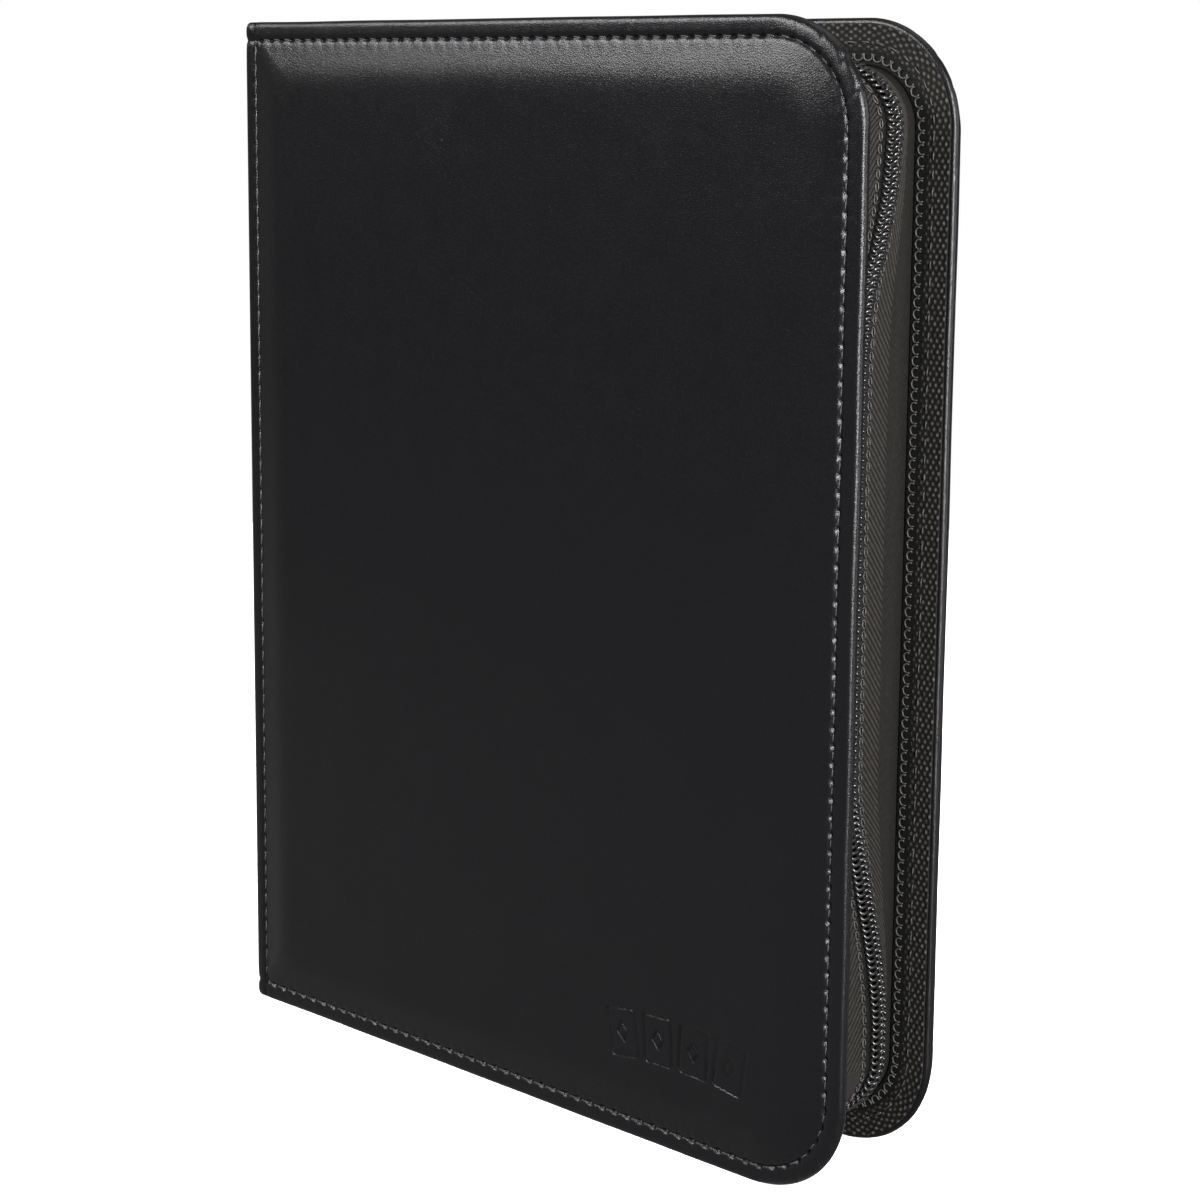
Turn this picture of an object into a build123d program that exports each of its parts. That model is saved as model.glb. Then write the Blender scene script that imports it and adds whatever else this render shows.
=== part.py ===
from build123d import *

import os

# A nine-pocket trading card binder with a zip round three sides, in millimetres.
# It stands on its bottom edges. +Z is up, +X points from the spine to the fore-edge, the front
# cover faces -Y, and the origin is under the middle of the closed binder.
#
# Both covers are built in a flat working frame (x, height, out), where out is the distance from
# the binder's middle plane, and are then turned upright. The back cover is the front's mirror image.

# Driving sizes of the closed binder
WIDTH = 258.0
HEIGHT = 345.0
CORNER_R = 32.0
RIM_OUT = 24.5  # middle plane to the outside of a cover's rim
RIM_THICK = 4.0
CROWN_RISE = 2.5  # how far the padded panel stands above the rim

LEFT = -WIDTH / 2
RIGHT = WIDTH / 2
INNER = RIM_OUT - RIM_THICK

# Cover layers
SKIN_THICK = 0.9
LINING_THICK = 0.6
BOARD_THICK = 2.0
RIM_WIDTH = 7.0
CROWN_SLOPE = 13.0
CAVITY_INSET = 8.0
LINING_INSET = 15.0
RIM_EDGE_R = 1.5

# Fold of leatherette between spine and cover: a bead about the hinge axis
FOLD_R = 1.6
FOLD_GAP = 0.3
MITRE_GAP = 0.25
HINGE_X = LEFT + FOLD_R
HINGE_OUT = RIM_OUT - FOLD_R

# Spine
SPINE_INNER_X = LEFT + RIM_THICK
SPINE_FOAM = 1.4
SPINE_HALF_CAVITY = 17.0
SPINE_END_INSET = 6.5

# Zip: insets are measured inward from the covers' outline
ZIP_INSET = 14.0
TAPE_THICK = 0.8
COIL_THICK = 2.4
COIL_NEAR = 0.7  # middle plane to the near side of each coil and tape
COIL_FAR = 3.1
TOP_CHAIN_X = LEFT + 35  # where the chain starts on the top edge, beside the parked slider
BOTTOM_CHAIN_X = LEFT + 23
WEBBING_IN = 1.5
WEBBING_OUT = 13.7
WEBBING_THICK = 0.6
WEBBING_X = LEFT + 19

# Pages
PAGE_COUNT = 20
PAGE_PITCH = 1.85
PAGE_RIGHT = RIGHT - 19
PAGE_HEIGHT = 296.0
PAGE_BACKING = 0.3
PAGE_FILM = 0.15
PAGE_FILM_INSET = 3.0
PAGE_CORNER_R = 6.0
PAGE_START = 0.6  # from a page's fold line to its near edge
BINDING_THICK = 1.4
BINDING_HALF = 18.0
FLAP_THICK = 0.6
FLAP_GAP = 0.4
FIRST_FOLD_X = LEFT + 8
FOLD_STEP = 1.5  # each page nearer the middle folds this much further from the spine

# Slider and pull tab, parked at the top of the spine
SLIDER_X = LEFT + 26
SLIDER_LENGTH = 12.0
SLIDER_HALF = 5.2
SLIDER_PLATE = 2.0
SLIDER_CLEAR = 0.4
SLIDER_CORNER_R = 2.5
POST_HALF = 0.4
FLANGE_IN = 3.7
BAIL_HALF = 1.2
BAIL_BAR = 1.4
BAIL_GAP = 2.2
BAIL_LENGTH = 10.0
PULL_THICK = 1.6
PULL_LENGTH = 36.0
PULL_HALF = 4.0
PULL_ARM_GAP = 1.5
PULL_ARM_HALF = 2.7
PULL_NECK = 6.5
PULL_CORNER_R = 2.5
PULL_SLOT = (18.0, 31.0)  # from the tab's axis
PULL_SLOT_HALF = 1.5
PULL_SLOT_R = 1.4
STOP_SPAN = (0.5, 2.5)  # from the end tab's tip
STOP_HEIGHT = 2.0
STOP_DEPTH = 2.2

# Ends of the zip at the spine
TAB_X = LEFT + 19
TAB_HALF = 9.0
TAB_THICK = 1.4


def block(low, high):
    """A box between two corners."""
    size = [b - a for a, b in zip(low, high)]
    middle = [(a + b) / 2 for a, b in zip(low, high)]
    return Pos(*middle) * Box(*size)


def outline(inset, left, out):
    """A cover outline moved inward by inset, square at the left, at one distance out."""
    right = RIGHT - inset
    low = inset
    high = HEIGHT - inset
    face = Pos((left + right) / 2, (low + high) / 2) * Rectangle(right - left, high - low)
    corners = face.vertices().sort_by(Axis.X)[-2:]
    return Pos(0, 0, out) * fillet(corners, CORNER_R - inset)


def plate(inset, left, out, thick):
    """A flat layer of a cover."""
    return extrude(outline(inset, left, out), amount=thick)


def crown(inset, left, out):
    """The raised middle of a cover: a low frustum with sloping sides."""
    top = outline(inset + CROWN_SLOPE, left + CROWN_SLOPE, out + CROWN_RISE)
    return loft([outline(inset, left, out), top], ruled=True)


def band(inset, width, left, out, thick):
    """A strip round the three zip sides, open at the spine."""
    outer = plate(inset, left, out, thick)
    return outer - plate(inset + width, left - width, out, thick)


def upright(solid):
    """Turn a solid from the flat working frame to the front cover's place."""
    return Rot(90, 0, 0) * solid


def hinge_cut():
    """What a cover leaves free next to its fold and the spine."""
    near = HINGE_X + FOLD_R + FOLD_GAP
    lean = near - HINGE_X - MITRE_GAP
    deep = HINGE_OUT - INNER + 1
    points = [
        (LEFT - 5, RIM_OUT + 5),
        (near, RIM_OUT + 5),
        (near, HINGE_OUT - lean),
        (HINGE_X + deep + MITRE_GAP, HINGE_OUT - deep),
        (LEFT - 5, HINGE_OUT - deep),
    ]
    section = Plane.XZ * make_face(Polyline(*points, close=True))
    return extrude(section, amount=HEIGHT + 2, both=True)


def cover_foam():
    start = INNER + LINING_THICK + BOARD_THICK
    shoulder = RIM_OUT - SKIN_THICK
    flat = plate(CAVITY_INSET, LEFT + CAVITY_INSET, start, shoulder - start)
    return flat + crown(CAVITY_INSET, LEFT + CAVITY_INSET, shoulder)


def cover_board():
    return plate(CAVITY_INSET, LEFT + CAVITY_INSET, INNER + LINING_THICK, BOARD_THICK)


def cover_lining():
    return plate(LINING_INSET, LEFT + CAVITY_INSET, INNER, LINING_THICK)


def cover_skin():
    """Leatherette shell: rolled rim, crown outside, and a hem folded over the inside face."""
    rim = plate(0, LEFT, INNER, RIM_THICK)
    outer_edges = rim.edges().group_by(Axis.Z)[-1].sort_by(Axis.X)[1:]
    body = fillet(outer_edges, RIM_EDGE_R) + crown(RIM_WIDTH, LEFT + RIM_WIDTH, RIM_OUT)
    return body - cover_foam() - cover_board() - cover_lining() - hinge_cut()


def edge_webbing():
    return band(WEBBING_IN, WEBBING_OUT - WEBBING_IN, WEBBING_X, INNER - WEBBING_THICK, WEBBING_THICK)


def zip_half(inset, width, far):
    """Tape or coil of one cover. It starts further from the spine at the top, where the slider is."""
    strip = band(inset, width, BOTTOM_CHAIN_X, COIL_NEAR, far - COIL_NEAR)
    slider_room = block((BOTTOM_CHAIN_X - 1, HEIGHT / 2, 0), (TOP_CHAIN_X, HEIGHT, RIM_OUT))
    return strip - slider_room


def zip_tape():
    return zip_half(ZIP_INSET, TAPE_THICK, INNER)


def zip_coil():
    return zip_half(ZIP_INSET - COIL_THICK, COIL_THICK, COIL_FAR)


def fold_strip():
    bead = Cylinder(FOLD_R, HEIGHT - 1)
    return Pos(HINGE_X, -HINGE_OUT, HEIGHT / 2) * bead


def spine_layer(near, far, half, end_inset):
    """A flat layer of the spine between two distances from its outer face."""
    low = (LEFT + near, -half, end_inset)
    high = (LEFT + far, half, HEIGHT - end_inset)
    return block(low, high)


def spine_stack():
    """Foam, board and lining inside the spine, from the outside in."""
    foam_end = SKIN_THICK + SPINE_FOAM
    board_end = RIM_THICK - LINING_THICK
    foam = spine_layer(SKIN_THICK, foam_end, SPINE_HALF_CAVITY, SPINE_END_INSET)
    board = spine_layer(foam_end, board_end, SPINE_HALF_CAVITY, SPINE_END_INSET)
    lining = spine_layer(board_end, RIM_THICK, SPINE_HALF_CAVITY, SPINE_END_INSET)
    return foam, board, lining


def spine_skin():
    """Leatherette round the spine, mitred on its long edges to let the covers close."""
    half = HINGE_OUT - FOLD_R - FOLD_GAP
    shoulder = HINGE_X + FOLD_R + FOLD_GAP - MITRE_GAP
    inner_half = HINGE_OUT - (SPINE_INNER_X - HINGE_X) - MITRE_GAP
    side = [(LEFT, half), (shoulder, half), (SPINE_INNER_X, inner_half)]
    other_side = [(x, -y) for x, y in reversed(side)]
    profile = make_face(Polyline(*side, *other_side, close=True))
    body = extrude(profile, amount=HEIGHT)
    for layer in spine_stack():
        body -= layer
    return body


def fold_x(index):
    """Where a page folds: the pages nearest the covers fold nearest the spine."""
    return FIRST_FOLD_X + FOLD_STEP * min(index, PAGE_COUNT - 1 - index)


def page_y(index):
    return PAGE_PITCH * (index - (PAGE_COUNT - 1) / 2)


def page_binding_strip():
    """Strip on the spine lining with a welded flap for each page."""
    low = (HEIGHT - PAGE_HEIGHT) / 2
    high = low + PAGE_HEIGHT
    root_x = SPINE_INNER_X + BINDING_THICK
    strip = block((SPINE_INNER_X, -BINDING_HALF, low), (root_x, BINDING_HALF, high))
    for index in range(PAGE_COUNT):
        y = page_y(index)
        start = (root_x, y - FLAP_THICK / 2, low)
        end = (fold_x(index) - FLAP_GAP, y + FLAP_THICK / 2, high)
        strip += block(start, end)
    return strip


def page_sheet(left, inset, start, thick):
    """One sheet of a page, with rounded corners at the fore-edge."""
    width = PAGE_RIGHT - left - inset
    height = PAGE_HEIGHT - 2 * inset
    face = Pos(left + width / 2, HEIGHT / 2) * Rectangle(width, height)
    face = fillet(face.vertices().sort_by(Axis.X)[-2:], PAGE_CORNER_R - inset)
    return extrude(Pos(0, 0, start) * face, amount=thick)


def page(index):
    """Black backing sheet between two clear pocket sheets, as three touching solids."""
    left = fold_x(index) + PAGE_START
    half = PAGE_BACKING / 2
    sheets = [
        page_sheet(left, 0, -half, PAGE_BACKING),
        page_sheet(left, PAGE_FILM_INSET, half, PAGE_FILM),
        page_sheet(left, PAGE_FILM_INSET, -half - PAGE_FILM, PAGE_FILM),
    ]
    return Pos(0, page_y(index), 0) * Compound(children=[upright(sheet) for sheet in sheets])


def chain_levels():
    """Heights on the top edge: inside and outside face of the tape, and outside of the coil."""
    tape_out = HEIGHT - ZIP_INSET
    return tape_out - TAPE_THICK, tape_out, tape_out + COIL_THICK


def zip_slider_body():
    """Two plates joined by a thin post, with lips over the tape and a bail for the pull tab."""
    tape_in, tape_out, coil_out = chain_levels()
    back = SLIDER_X - SLIDER_LENGTH / 2
    front = SLIDER_X + SLIDER_LENGTH / 2
    lower_top = tape_in - SLIDER_CLEAR
    upper_low = coil_out + SLIDER_CLEAR
    upper_top = upper_low + SLIDER_PLATE
    lower = block((back, -SLIDER_HALF, lower_top - SLIDER_PLATE), (front, SLIDER_HALF, lower_top))
    upper = block((back, -SLIDER_HALF, upper_low), (front, SLIDER_HALF, upper_top))
    lower = fillet(lower.edges().filter_by(Axis.Z), SLIDER_CORNER_R)
    upper = fillet(upper.edges().filter_by(Axis.Z), SLIDER_CORNER_R)
    post = block((back + 1, -POST_HALF, lower_top), (SLIDER_X - 1, POST_HALF, upper_low))
    body = lower + upper + post
    for side in (-1, 1):
        near, far = sorted((side * FLANGE_IN, side * SLIDER_HALF))
        low = (back + SLIDER_CORNER_R, near, tape_out + SLIDER_CLEAR)
        body += block(low, (front - SLIDER_CORNER_R, far, upper_low))
    return body + bail(upper_top)


def bail(base):
    """Small bridge on the slider that the pull tab turns in."""
    back = SLIDER_X - BAIL_LENGTH / 2
    front = SLIDER_X + BAIL_LENGTH / 2
    top = base + BAIL_GAP + BAIL_BAR
    bridge = block((back, -BAIL_HALF, base), (front, BAIL_HALF, top))
    window = block((back + BAIL_BAR, -BAIL_HALF, base), (front - BAIL_BAR, BAIL_HALF, base + BAIL_GAP))
    return bridge - window


def pull_axis_z():
    return chain_levels()[2] + SLIDER_CLEAR + SLIDER_PLATE + BAIL_GAP / 2


def zip_pull_tab():
    """Flat tab with a loop that turns in the bail, folded down along the chain."""
    z = pull_axis_z()
    low = z - PULL_THICK / 2
    high = z + PULL_THICK / 2
    bar = Pos(SLIDER_X, 0, z) * Rot(90, 0, 0) * Cylinder(PULL_THICK / 2, 2 * PULL_ARM_HALF)
    tab = block((SLIDER_X + PULL_NECK, -PULL_HALF, low), (SLIDER_X + PULL_LENGTH, PULL_HALF, high))
    tab = fillet(tab.edges().filter_by(Axis.Z), PULL_CORNER_R)
    slot_start = SLIDER_X + PULL_SLOT[0]
    slot_end = SLIDER_X + PULL_SLOT[1]
    slot = block((slot_start, -PULL_SLOT_HALF, low), (slot_end, PULL_SLOT_HALF, high))
    tab -= fillet(slot.edges().filter_by(Axis.Z), PULL_SLOT_R)
    for side in (-1, 1):
        near, far = sorted((side * PULL_ARM_GAP, side * PULL_ARM_HALF))
        tab += block((SLIDER_X, near, low), (SLIDER_X + PULL_NECK + 1, far, high))
    return tab + bar


def zip_end_tab(tape_side, out_side):
    """Leatherette tab between the spine and the end of the chain, between two heights."""
    low, high = sorted((tape_side, out_side))
    return block((SPINE_INNER_X, -TAB_HALF, low), (TAB_X, TAB_HALF, high))


def zip_top_stops():
    """Two metal clips, one for each coil, on the tab next to the slider."""
    tape_out = chain_levels()[1]
    clips = []
    for side in (-1, 1):
        near, far = sorted((side * COIL_NEAR, side * COIL_FAR))
        low = (TAB_X - STOP_SPAN[1], near, tape_out)
        clips.append(block(low, (TAB_X - STOP_SPAN[0], far, tape_out + STOP_HEIGHT)))
    return Compound(children=clips)


def zip_bottom_stop():
    """Metal clip across both coils at the bottom end of the chain."""
    low = (TAB_X - STOP_SPAN[1], -COIL_FAR, ZIP_INSET - STOP_DEPTH)
    return block(low, (TAB_X - STOP_SPAN[0], COIL_FAR, ZIP_INSET))


COVER_PIECES = {
    "cover_skin": cover_skin,
    "cover_foam": cover_foam,
    "cover_board": cover_board,
    "cover_lining": cover_lining,
    "edge_webbing": edge_webbing,
    "zip_tape": zip_tape,
    "zip_coil": zip_coil,
}


def all_parts():
    parts = {}
    for name, make in COVER_PIECES.items():
        front = upright(make())
        parts["front_" + name] = front
        parts["back_" + name] = mirror(front, about=Plane.XZ)
    parts["front_hinge_strip"] = fold_strip()
    parts["back_hinge_strip"] = mirror(fold_strip(), about=Plane.XZ)
    parts["spine_skin"] = spine_skin()
    parts["spine_foam"], parts["spine_board"], parts["spine_lining"] = spine_stack()
    parts["page_binding_strip"] = page_binding_strip()
    for index in range(PAGE_COUNT):
        parts[f"page_{index + 1:02d}"] = page(index)
    tape_in, tape_out, _ = chain_levels()
    parts["zip_slider_body"] = zip_slider_body()
    parts["zip_pull_tab"] = zip_pull_tab()
    parts["zip_end_tab_top"] = zip_end_tab(tape_out, tape_out - TAB_THICK)
    parts["zip_end_tab_bottom"] = zip_end_tab(ZIP_INSET, ZIP_INSET + TAB_THICK)
    parts["zip_top_stops"] = zip_top_stops()
    parts["zip_bottom_stop"] = zip_bottom_stop()
    return parts


os.makedirs("parts", exist_ok=True)
for name, solid in all_parts().items():
    export_step(solid, f"parts/{name}.step")
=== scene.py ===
"""Visual model of a zip-around trading card binder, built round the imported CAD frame.

Cover pieces are worked out in a flat frame, (x, height, out) in millimetres, where out is the
distance from the binder's middle plane. side is -1 for the front cover and +1 for the back one.
"""

import math

import bmesh
import bpy
import numpy as np
from mathutils import Matrix, Vector

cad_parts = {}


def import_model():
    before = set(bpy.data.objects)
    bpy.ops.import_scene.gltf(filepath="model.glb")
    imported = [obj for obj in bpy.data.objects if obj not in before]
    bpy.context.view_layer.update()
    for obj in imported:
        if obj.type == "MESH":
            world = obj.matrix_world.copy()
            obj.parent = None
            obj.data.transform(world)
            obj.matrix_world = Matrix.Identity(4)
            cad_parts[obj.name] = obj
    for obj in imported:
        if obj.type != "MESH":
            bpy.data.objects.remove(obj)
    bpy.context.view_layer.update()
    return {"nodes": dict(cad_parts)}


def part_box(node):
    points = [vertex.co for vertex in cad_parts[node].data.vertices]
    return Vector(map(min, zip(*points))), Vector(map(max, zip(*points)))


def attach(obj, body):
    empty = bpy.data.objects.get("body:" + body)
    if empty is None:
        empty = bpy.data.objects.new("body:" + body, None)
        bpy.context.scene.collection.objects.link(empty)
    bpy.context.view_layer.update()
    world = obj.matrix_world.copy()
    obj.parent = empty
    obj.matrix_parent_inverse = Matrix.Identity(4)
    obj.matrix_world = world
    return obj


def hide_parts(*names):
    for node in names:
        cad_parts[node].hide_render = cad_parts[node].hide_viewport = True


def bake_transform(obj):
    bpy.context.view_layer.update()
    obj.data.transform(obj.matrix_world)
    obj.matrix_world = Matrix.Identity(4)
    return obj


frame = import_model()

MM = 0.001


def box_mm(node):
    low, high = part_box(node)
    return np.array(low) / MM, np.array(high) / MM


# ---------------------------------------------------------------- sizes taken from the frame
skin_low, skin_high = box_mm("back_cover_skin")
spine_low, spine_high = box_mm("spine_skin")
tape_low, tape_high = box_mm("back_zip_tape")
coil_high = box_mm("back_zip_coil")[1]
webbing_high = box_mm("back_edge_webbing")[1]
slider_low, slider_high = box_mm("zip_slider_body")
pull_low, pull_high = box_mm("zip_pull_tab")
end_tab_high = box_mm("zip_end_tab_top")[1]

LEFT = spine_low[0]
RIGHT = skin_high[0]
HEIGHT = skin_high[2]
INNER = skin_low[1]
CROWN_OUT = skin_high[1]
CROWN_RISE = 2.5
RIM_OUT = CROWN_OUT - CROWN_RISE
CORNER_R = 32.0
SPINE_INNER_X = spine_high[0]
ZIP_INSET = RIGHT - tape_high[0]
TAPE_THICK = 0.8
TAPE_NEAR = tape_low[1]
COIL_INSET = RIGHT - coil_high[0]
WEBBING_NEAR = RIGHT - webbing_high[0]
WEBBING_FAR = ZIP_INSET - 0.3

# The top run of the closed zip, and where each cover starts to carry it
TAPE_OUT = HEIGHT - ZIP_INSET
TAPE_IN = TAPE_OUT - TAPE_THICK
CHAIN_TOP = HEIGHT - COIL_INSET
TOP_CHAIN_X = LEFT + 35
BOTTOM_CHAIN_X = LEFT + 23

STITCH_INSET = 6.0
STITCH_PITCH = 5.2
STITCH_DEPTH = 0.42
HEM_END = 14.6
FOLD_R = 3.0
FOLD_LEATHER = 2.3
SPINE_PANEL_HALF = RIM_OUT - STITCH_INSET
PAGE_COUNT = 20
PAGE_COLUMNS, PAGE_ROWS = 3, 3
PAGE_MARGIN, PAGE_EDGE = 7.0, 3.0

COVERS = {-1: "front_cover", 1: "back_cover"}
SIDES = {-1: "front", 1: "back"}


# ---------------------------------------------------------------- small tools
def waves(x, z, seed, wavelength, count=6):
    """Smooth random height field, about -1 to 1, from sine waves in random directions."""
    rng = np.random.default_rng(seed)
    total = np.zeros(np.broadcast(x, z).shape)
    for _ in range(count):
        angle = rng.uniform(0, 2 * math.pi)
        phase = rng.uniform(0, 2 * math.pi)
        length = wavelength * rng.uniform(0.7, 1.5)
        total += np.sin((x * math.cos(angle) + z * math.sin(angle)) * 2 * math.pi / length + phase)
    return total / math.sqrt(count * 2)


def place(x, z, out, side):
    """Flat cover frame to the row frame."""
    x, z, out = np.broadcast_arrays(x, z, out)
    return np.stack([x, side * out, z], axis=-1)


def new_object(name, points, faces, material, relief=None):
    """A mesh object from points in millimetres. relief, 0 to 1 for each point, is how high the thread
    lies there; the cloth materials paint it into the colour as shade in the cloth's gaps and highlight on its
    raised yarns."""
    mesh = bpy.data.meshes.new(name)
    mesh.from_pydata((np.asarray(points, float).reshape(-1, 3) * MM).tolist(), [], faces)
    mesh.validate()
    mesh.materials.append(material)
    obj = bpy.data.objects.new(name, mesh)
    bpy.context.scene.collection.objects.link(obj)
    mesh.shade_smooth()
    if relief is not None:
        values = mesh.attributes.new("relief", "FLOAT", "POINT")
        values.data.foreach_set("value", np.clip(relief, 0, 1).astype(np.float32).ravel())
    fix_normals(mesh)
    return obj


def fix_normals(mesh):
    work = bmesh.new()
    work.from_mesh(mesh)
    bmesh.ops.recalc_face_normals(work, faces=work.faces)
    work.to_mesh(mesh)
    work.free()


def grid_faces(rows, columns, wrap_rows=False, wrap_columns=False, start=0):
    """Quads of a grid of points numbered row by row."""
    i = np.arange(rows if wrap_rows else rows - 1)
    j = np.arange(columns if wrap_columns else columns - 1)
    i, j = np.meshgrid(i, j, indexing="ij")
    i2 = (i + 1) % rows
    j2 = (j + 1) % columns
    quads = np.stack([i * columns + j, i * columns + j2, i2 * columns + j2, i2 * columns + j], axis=-1)
    return (quads.reshape(-1, 4) + start).tolist()


def tube_faces(rows, columns, start=0):
    """Quads and two end caps of a closed section repeated along a line."""
    faces = grid_faces(rows, columns, wrap_columns=True, start=start)
    faces.append(list(range(start, start + columns)))
    last = start + (rows - 1) * columns
    faces.append(list(range(last, last + columns)))
    return faces


def join_points(parts):
    """Points and faces of several (points, faces) parts, with the faces renumbered."""
    points, faces, count = [], [], 0
    for part_points, part_faces in parts:
        part_points = np.asarray(part_points, float).reshape(-1, 3)
        points.append(part_points)
        faces += [[v + count for v in face] for face in part_faces]
        count += len(part_points)
    return np.concatenate(points), faces


def sheet_solid(front, back):
    """Closed thin solid between two grids of points."""
    rows, columns = front.shape[:2]
    size = rows * columns
    edge = list(range(columns)) + [columns - 1 + columns * i for i in range(1, rows)]
    edge += [size - 1 - j for j in range(1, columns)]
    edge += [size - columns - columns * i for i in range(1, rows - 1)]
    faces = grid_faces(rows, columns) + grid_faces(rows, columns, start=size)
    faces += [[i, j, j + size, i + size] for i, j in zip(edge, edge[1:] + edge[:1])]
    return np.concatenate([front.reshape(-1, 3), back.reshape(-1, 3)]), faces


# ---------------------------------------------------------------- outlines
def spaced(start, end, step):
    count = max(2, int(round(abs(end - start) / step)))
    return np.linspace(start, end, count, endpoint=False)


def free_edge_path(x_start, step):
    """The covers' outline from the spine along the top, fore-edge and bottom, with outward normals."""
    r = CORNER_R
    arc = spaced(0, math.pi / 2, step / (r - STITCH_INSET))
    top = spaced(x_start, RIGHT - r, step)
    side = spaced(HEIGHT - r, r, step)
    bottom = np.append(spaced(RIGHT - r, x_start, step), x_start)
    x = [top, RIGHT - r + r * np.sin(arc), np.full(len(side), RIGHT), RIGHT - r + r * np.cos(arc), bottom]
    z = [np.full(len(top), HEIGHT), HEIGHT - r + r * np.cos(arc), side, r - r * np.sin(arc),
         np.zeros(len(bottom))]
    nx = [np.zeros(len(top)), np.sin(arc), np.ones(len(side)), np.cos(arc), np.zeros(len(bottom))]
    nz = [np.ones(len(top)), np.cos(arc), np.zeros(len(side)), -np.sin(arc), -np.ones(len(bottom))]
    return tuple(np.concatenate(values) for values in (x, z, nx, nz))


def along(x, z):
    """Distance along a line of points."""
    return np.concatenate([[0], np.cumsum(np.hypot(np.diff(x), np.diff(z)))])


def rounded_ring(left, right, low, high, radii, fractions, arc_count):
    """A closed rounded rectangle with the same number of points at any size.

    radii are those of the top right, bottom right, bottom left and top left corners, and fractions
    say how the points are spread along the top, right, bottom and left edges."""
    limit = min(right - left, high - low) / 2 - 0.01
    tr, br, bl, tl = [min(r, limit) for r in radii]
    arc = np.linspace(0, math.pi / 2, arc_count, endpoint=False)
    top, side, bottom, back = fractions
    x = [left + tl + (right - tr - left - tl) * top, right - tr + tr * np.sin(arc),
         np.full(len(side), right), right - br + br * np.cos(arc),
         right - br - (right - br - left - bl) * bottom, left + bl - bl * np.sin(arc),
         np.full(len(back), left), left + tl - tl * np.cos(arc)]
    z = [np.full(len(top), high), high - tr + tr * np.cos(arc),
         high - tr - (high - tr - low - br) * side, low + br - br * np.sin(arc),
         np.full(len(bottom), low), low + bl - bl * np.cos(arc),
         low + bl + (high - tl - low - bl) * back, high - tl + tl * np.sin(arc)]
    return np.concatenate(x), np.concatenate(z)


def curve_through(x, table):
    """Smooth curve through (x, value) pairs that doesn't overshoot them."""
    xs, ys = np.array(table, float).T
    slope = np.diff(ys) / np.diff(xs)
    tangent = np.concatenate([[slope[0]], np.where(slope[:-1] * slope[1:] > 0,
                             2 * slope[:-1] * slope[1:] / (slope[:-1] + slope[1:] + 1e-12), 0), [slope[-1]]])
    i = np.clip(np.searchsorted(xs, x) - 1, 0, len(xs) - 2)
    width = xs[i + 1] - xs[i]
    t = np.clip((x - xs[i]) / width, 0, 1)
    a = ys[i] * (2 * t**3 - 3 * t**2 + 1) + ys[i + 1] * (3 * t**2 - 2 * t**3)
    return a + width * (tangent[i] * (t**3 - 2 * t**2 + t) + tangent[i + 1] * (t**3 - t**2))


def rounded_loop(points, per_span=3):
    """A closed loop of points made smooth with a Catmull-Rom curve."""
    p = np.array(points, float)
    before, after, beyond = np.roll(p, 1, 0), np.roll(p, -1, 0), np.roll(p, -2, 0)
    spans = []
    for t in np.arange(per_span) / per_span:
        spans.append(0.5 * (2 * p + (after - before) * t + (2 * before - 5 * p + 4 * after - beyond) * t**2
                            + (3 * p - before - 3 * after + beyond) * t**3))
    return np.stack(spans, axis=1).reshape(-1, 2)


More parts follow.
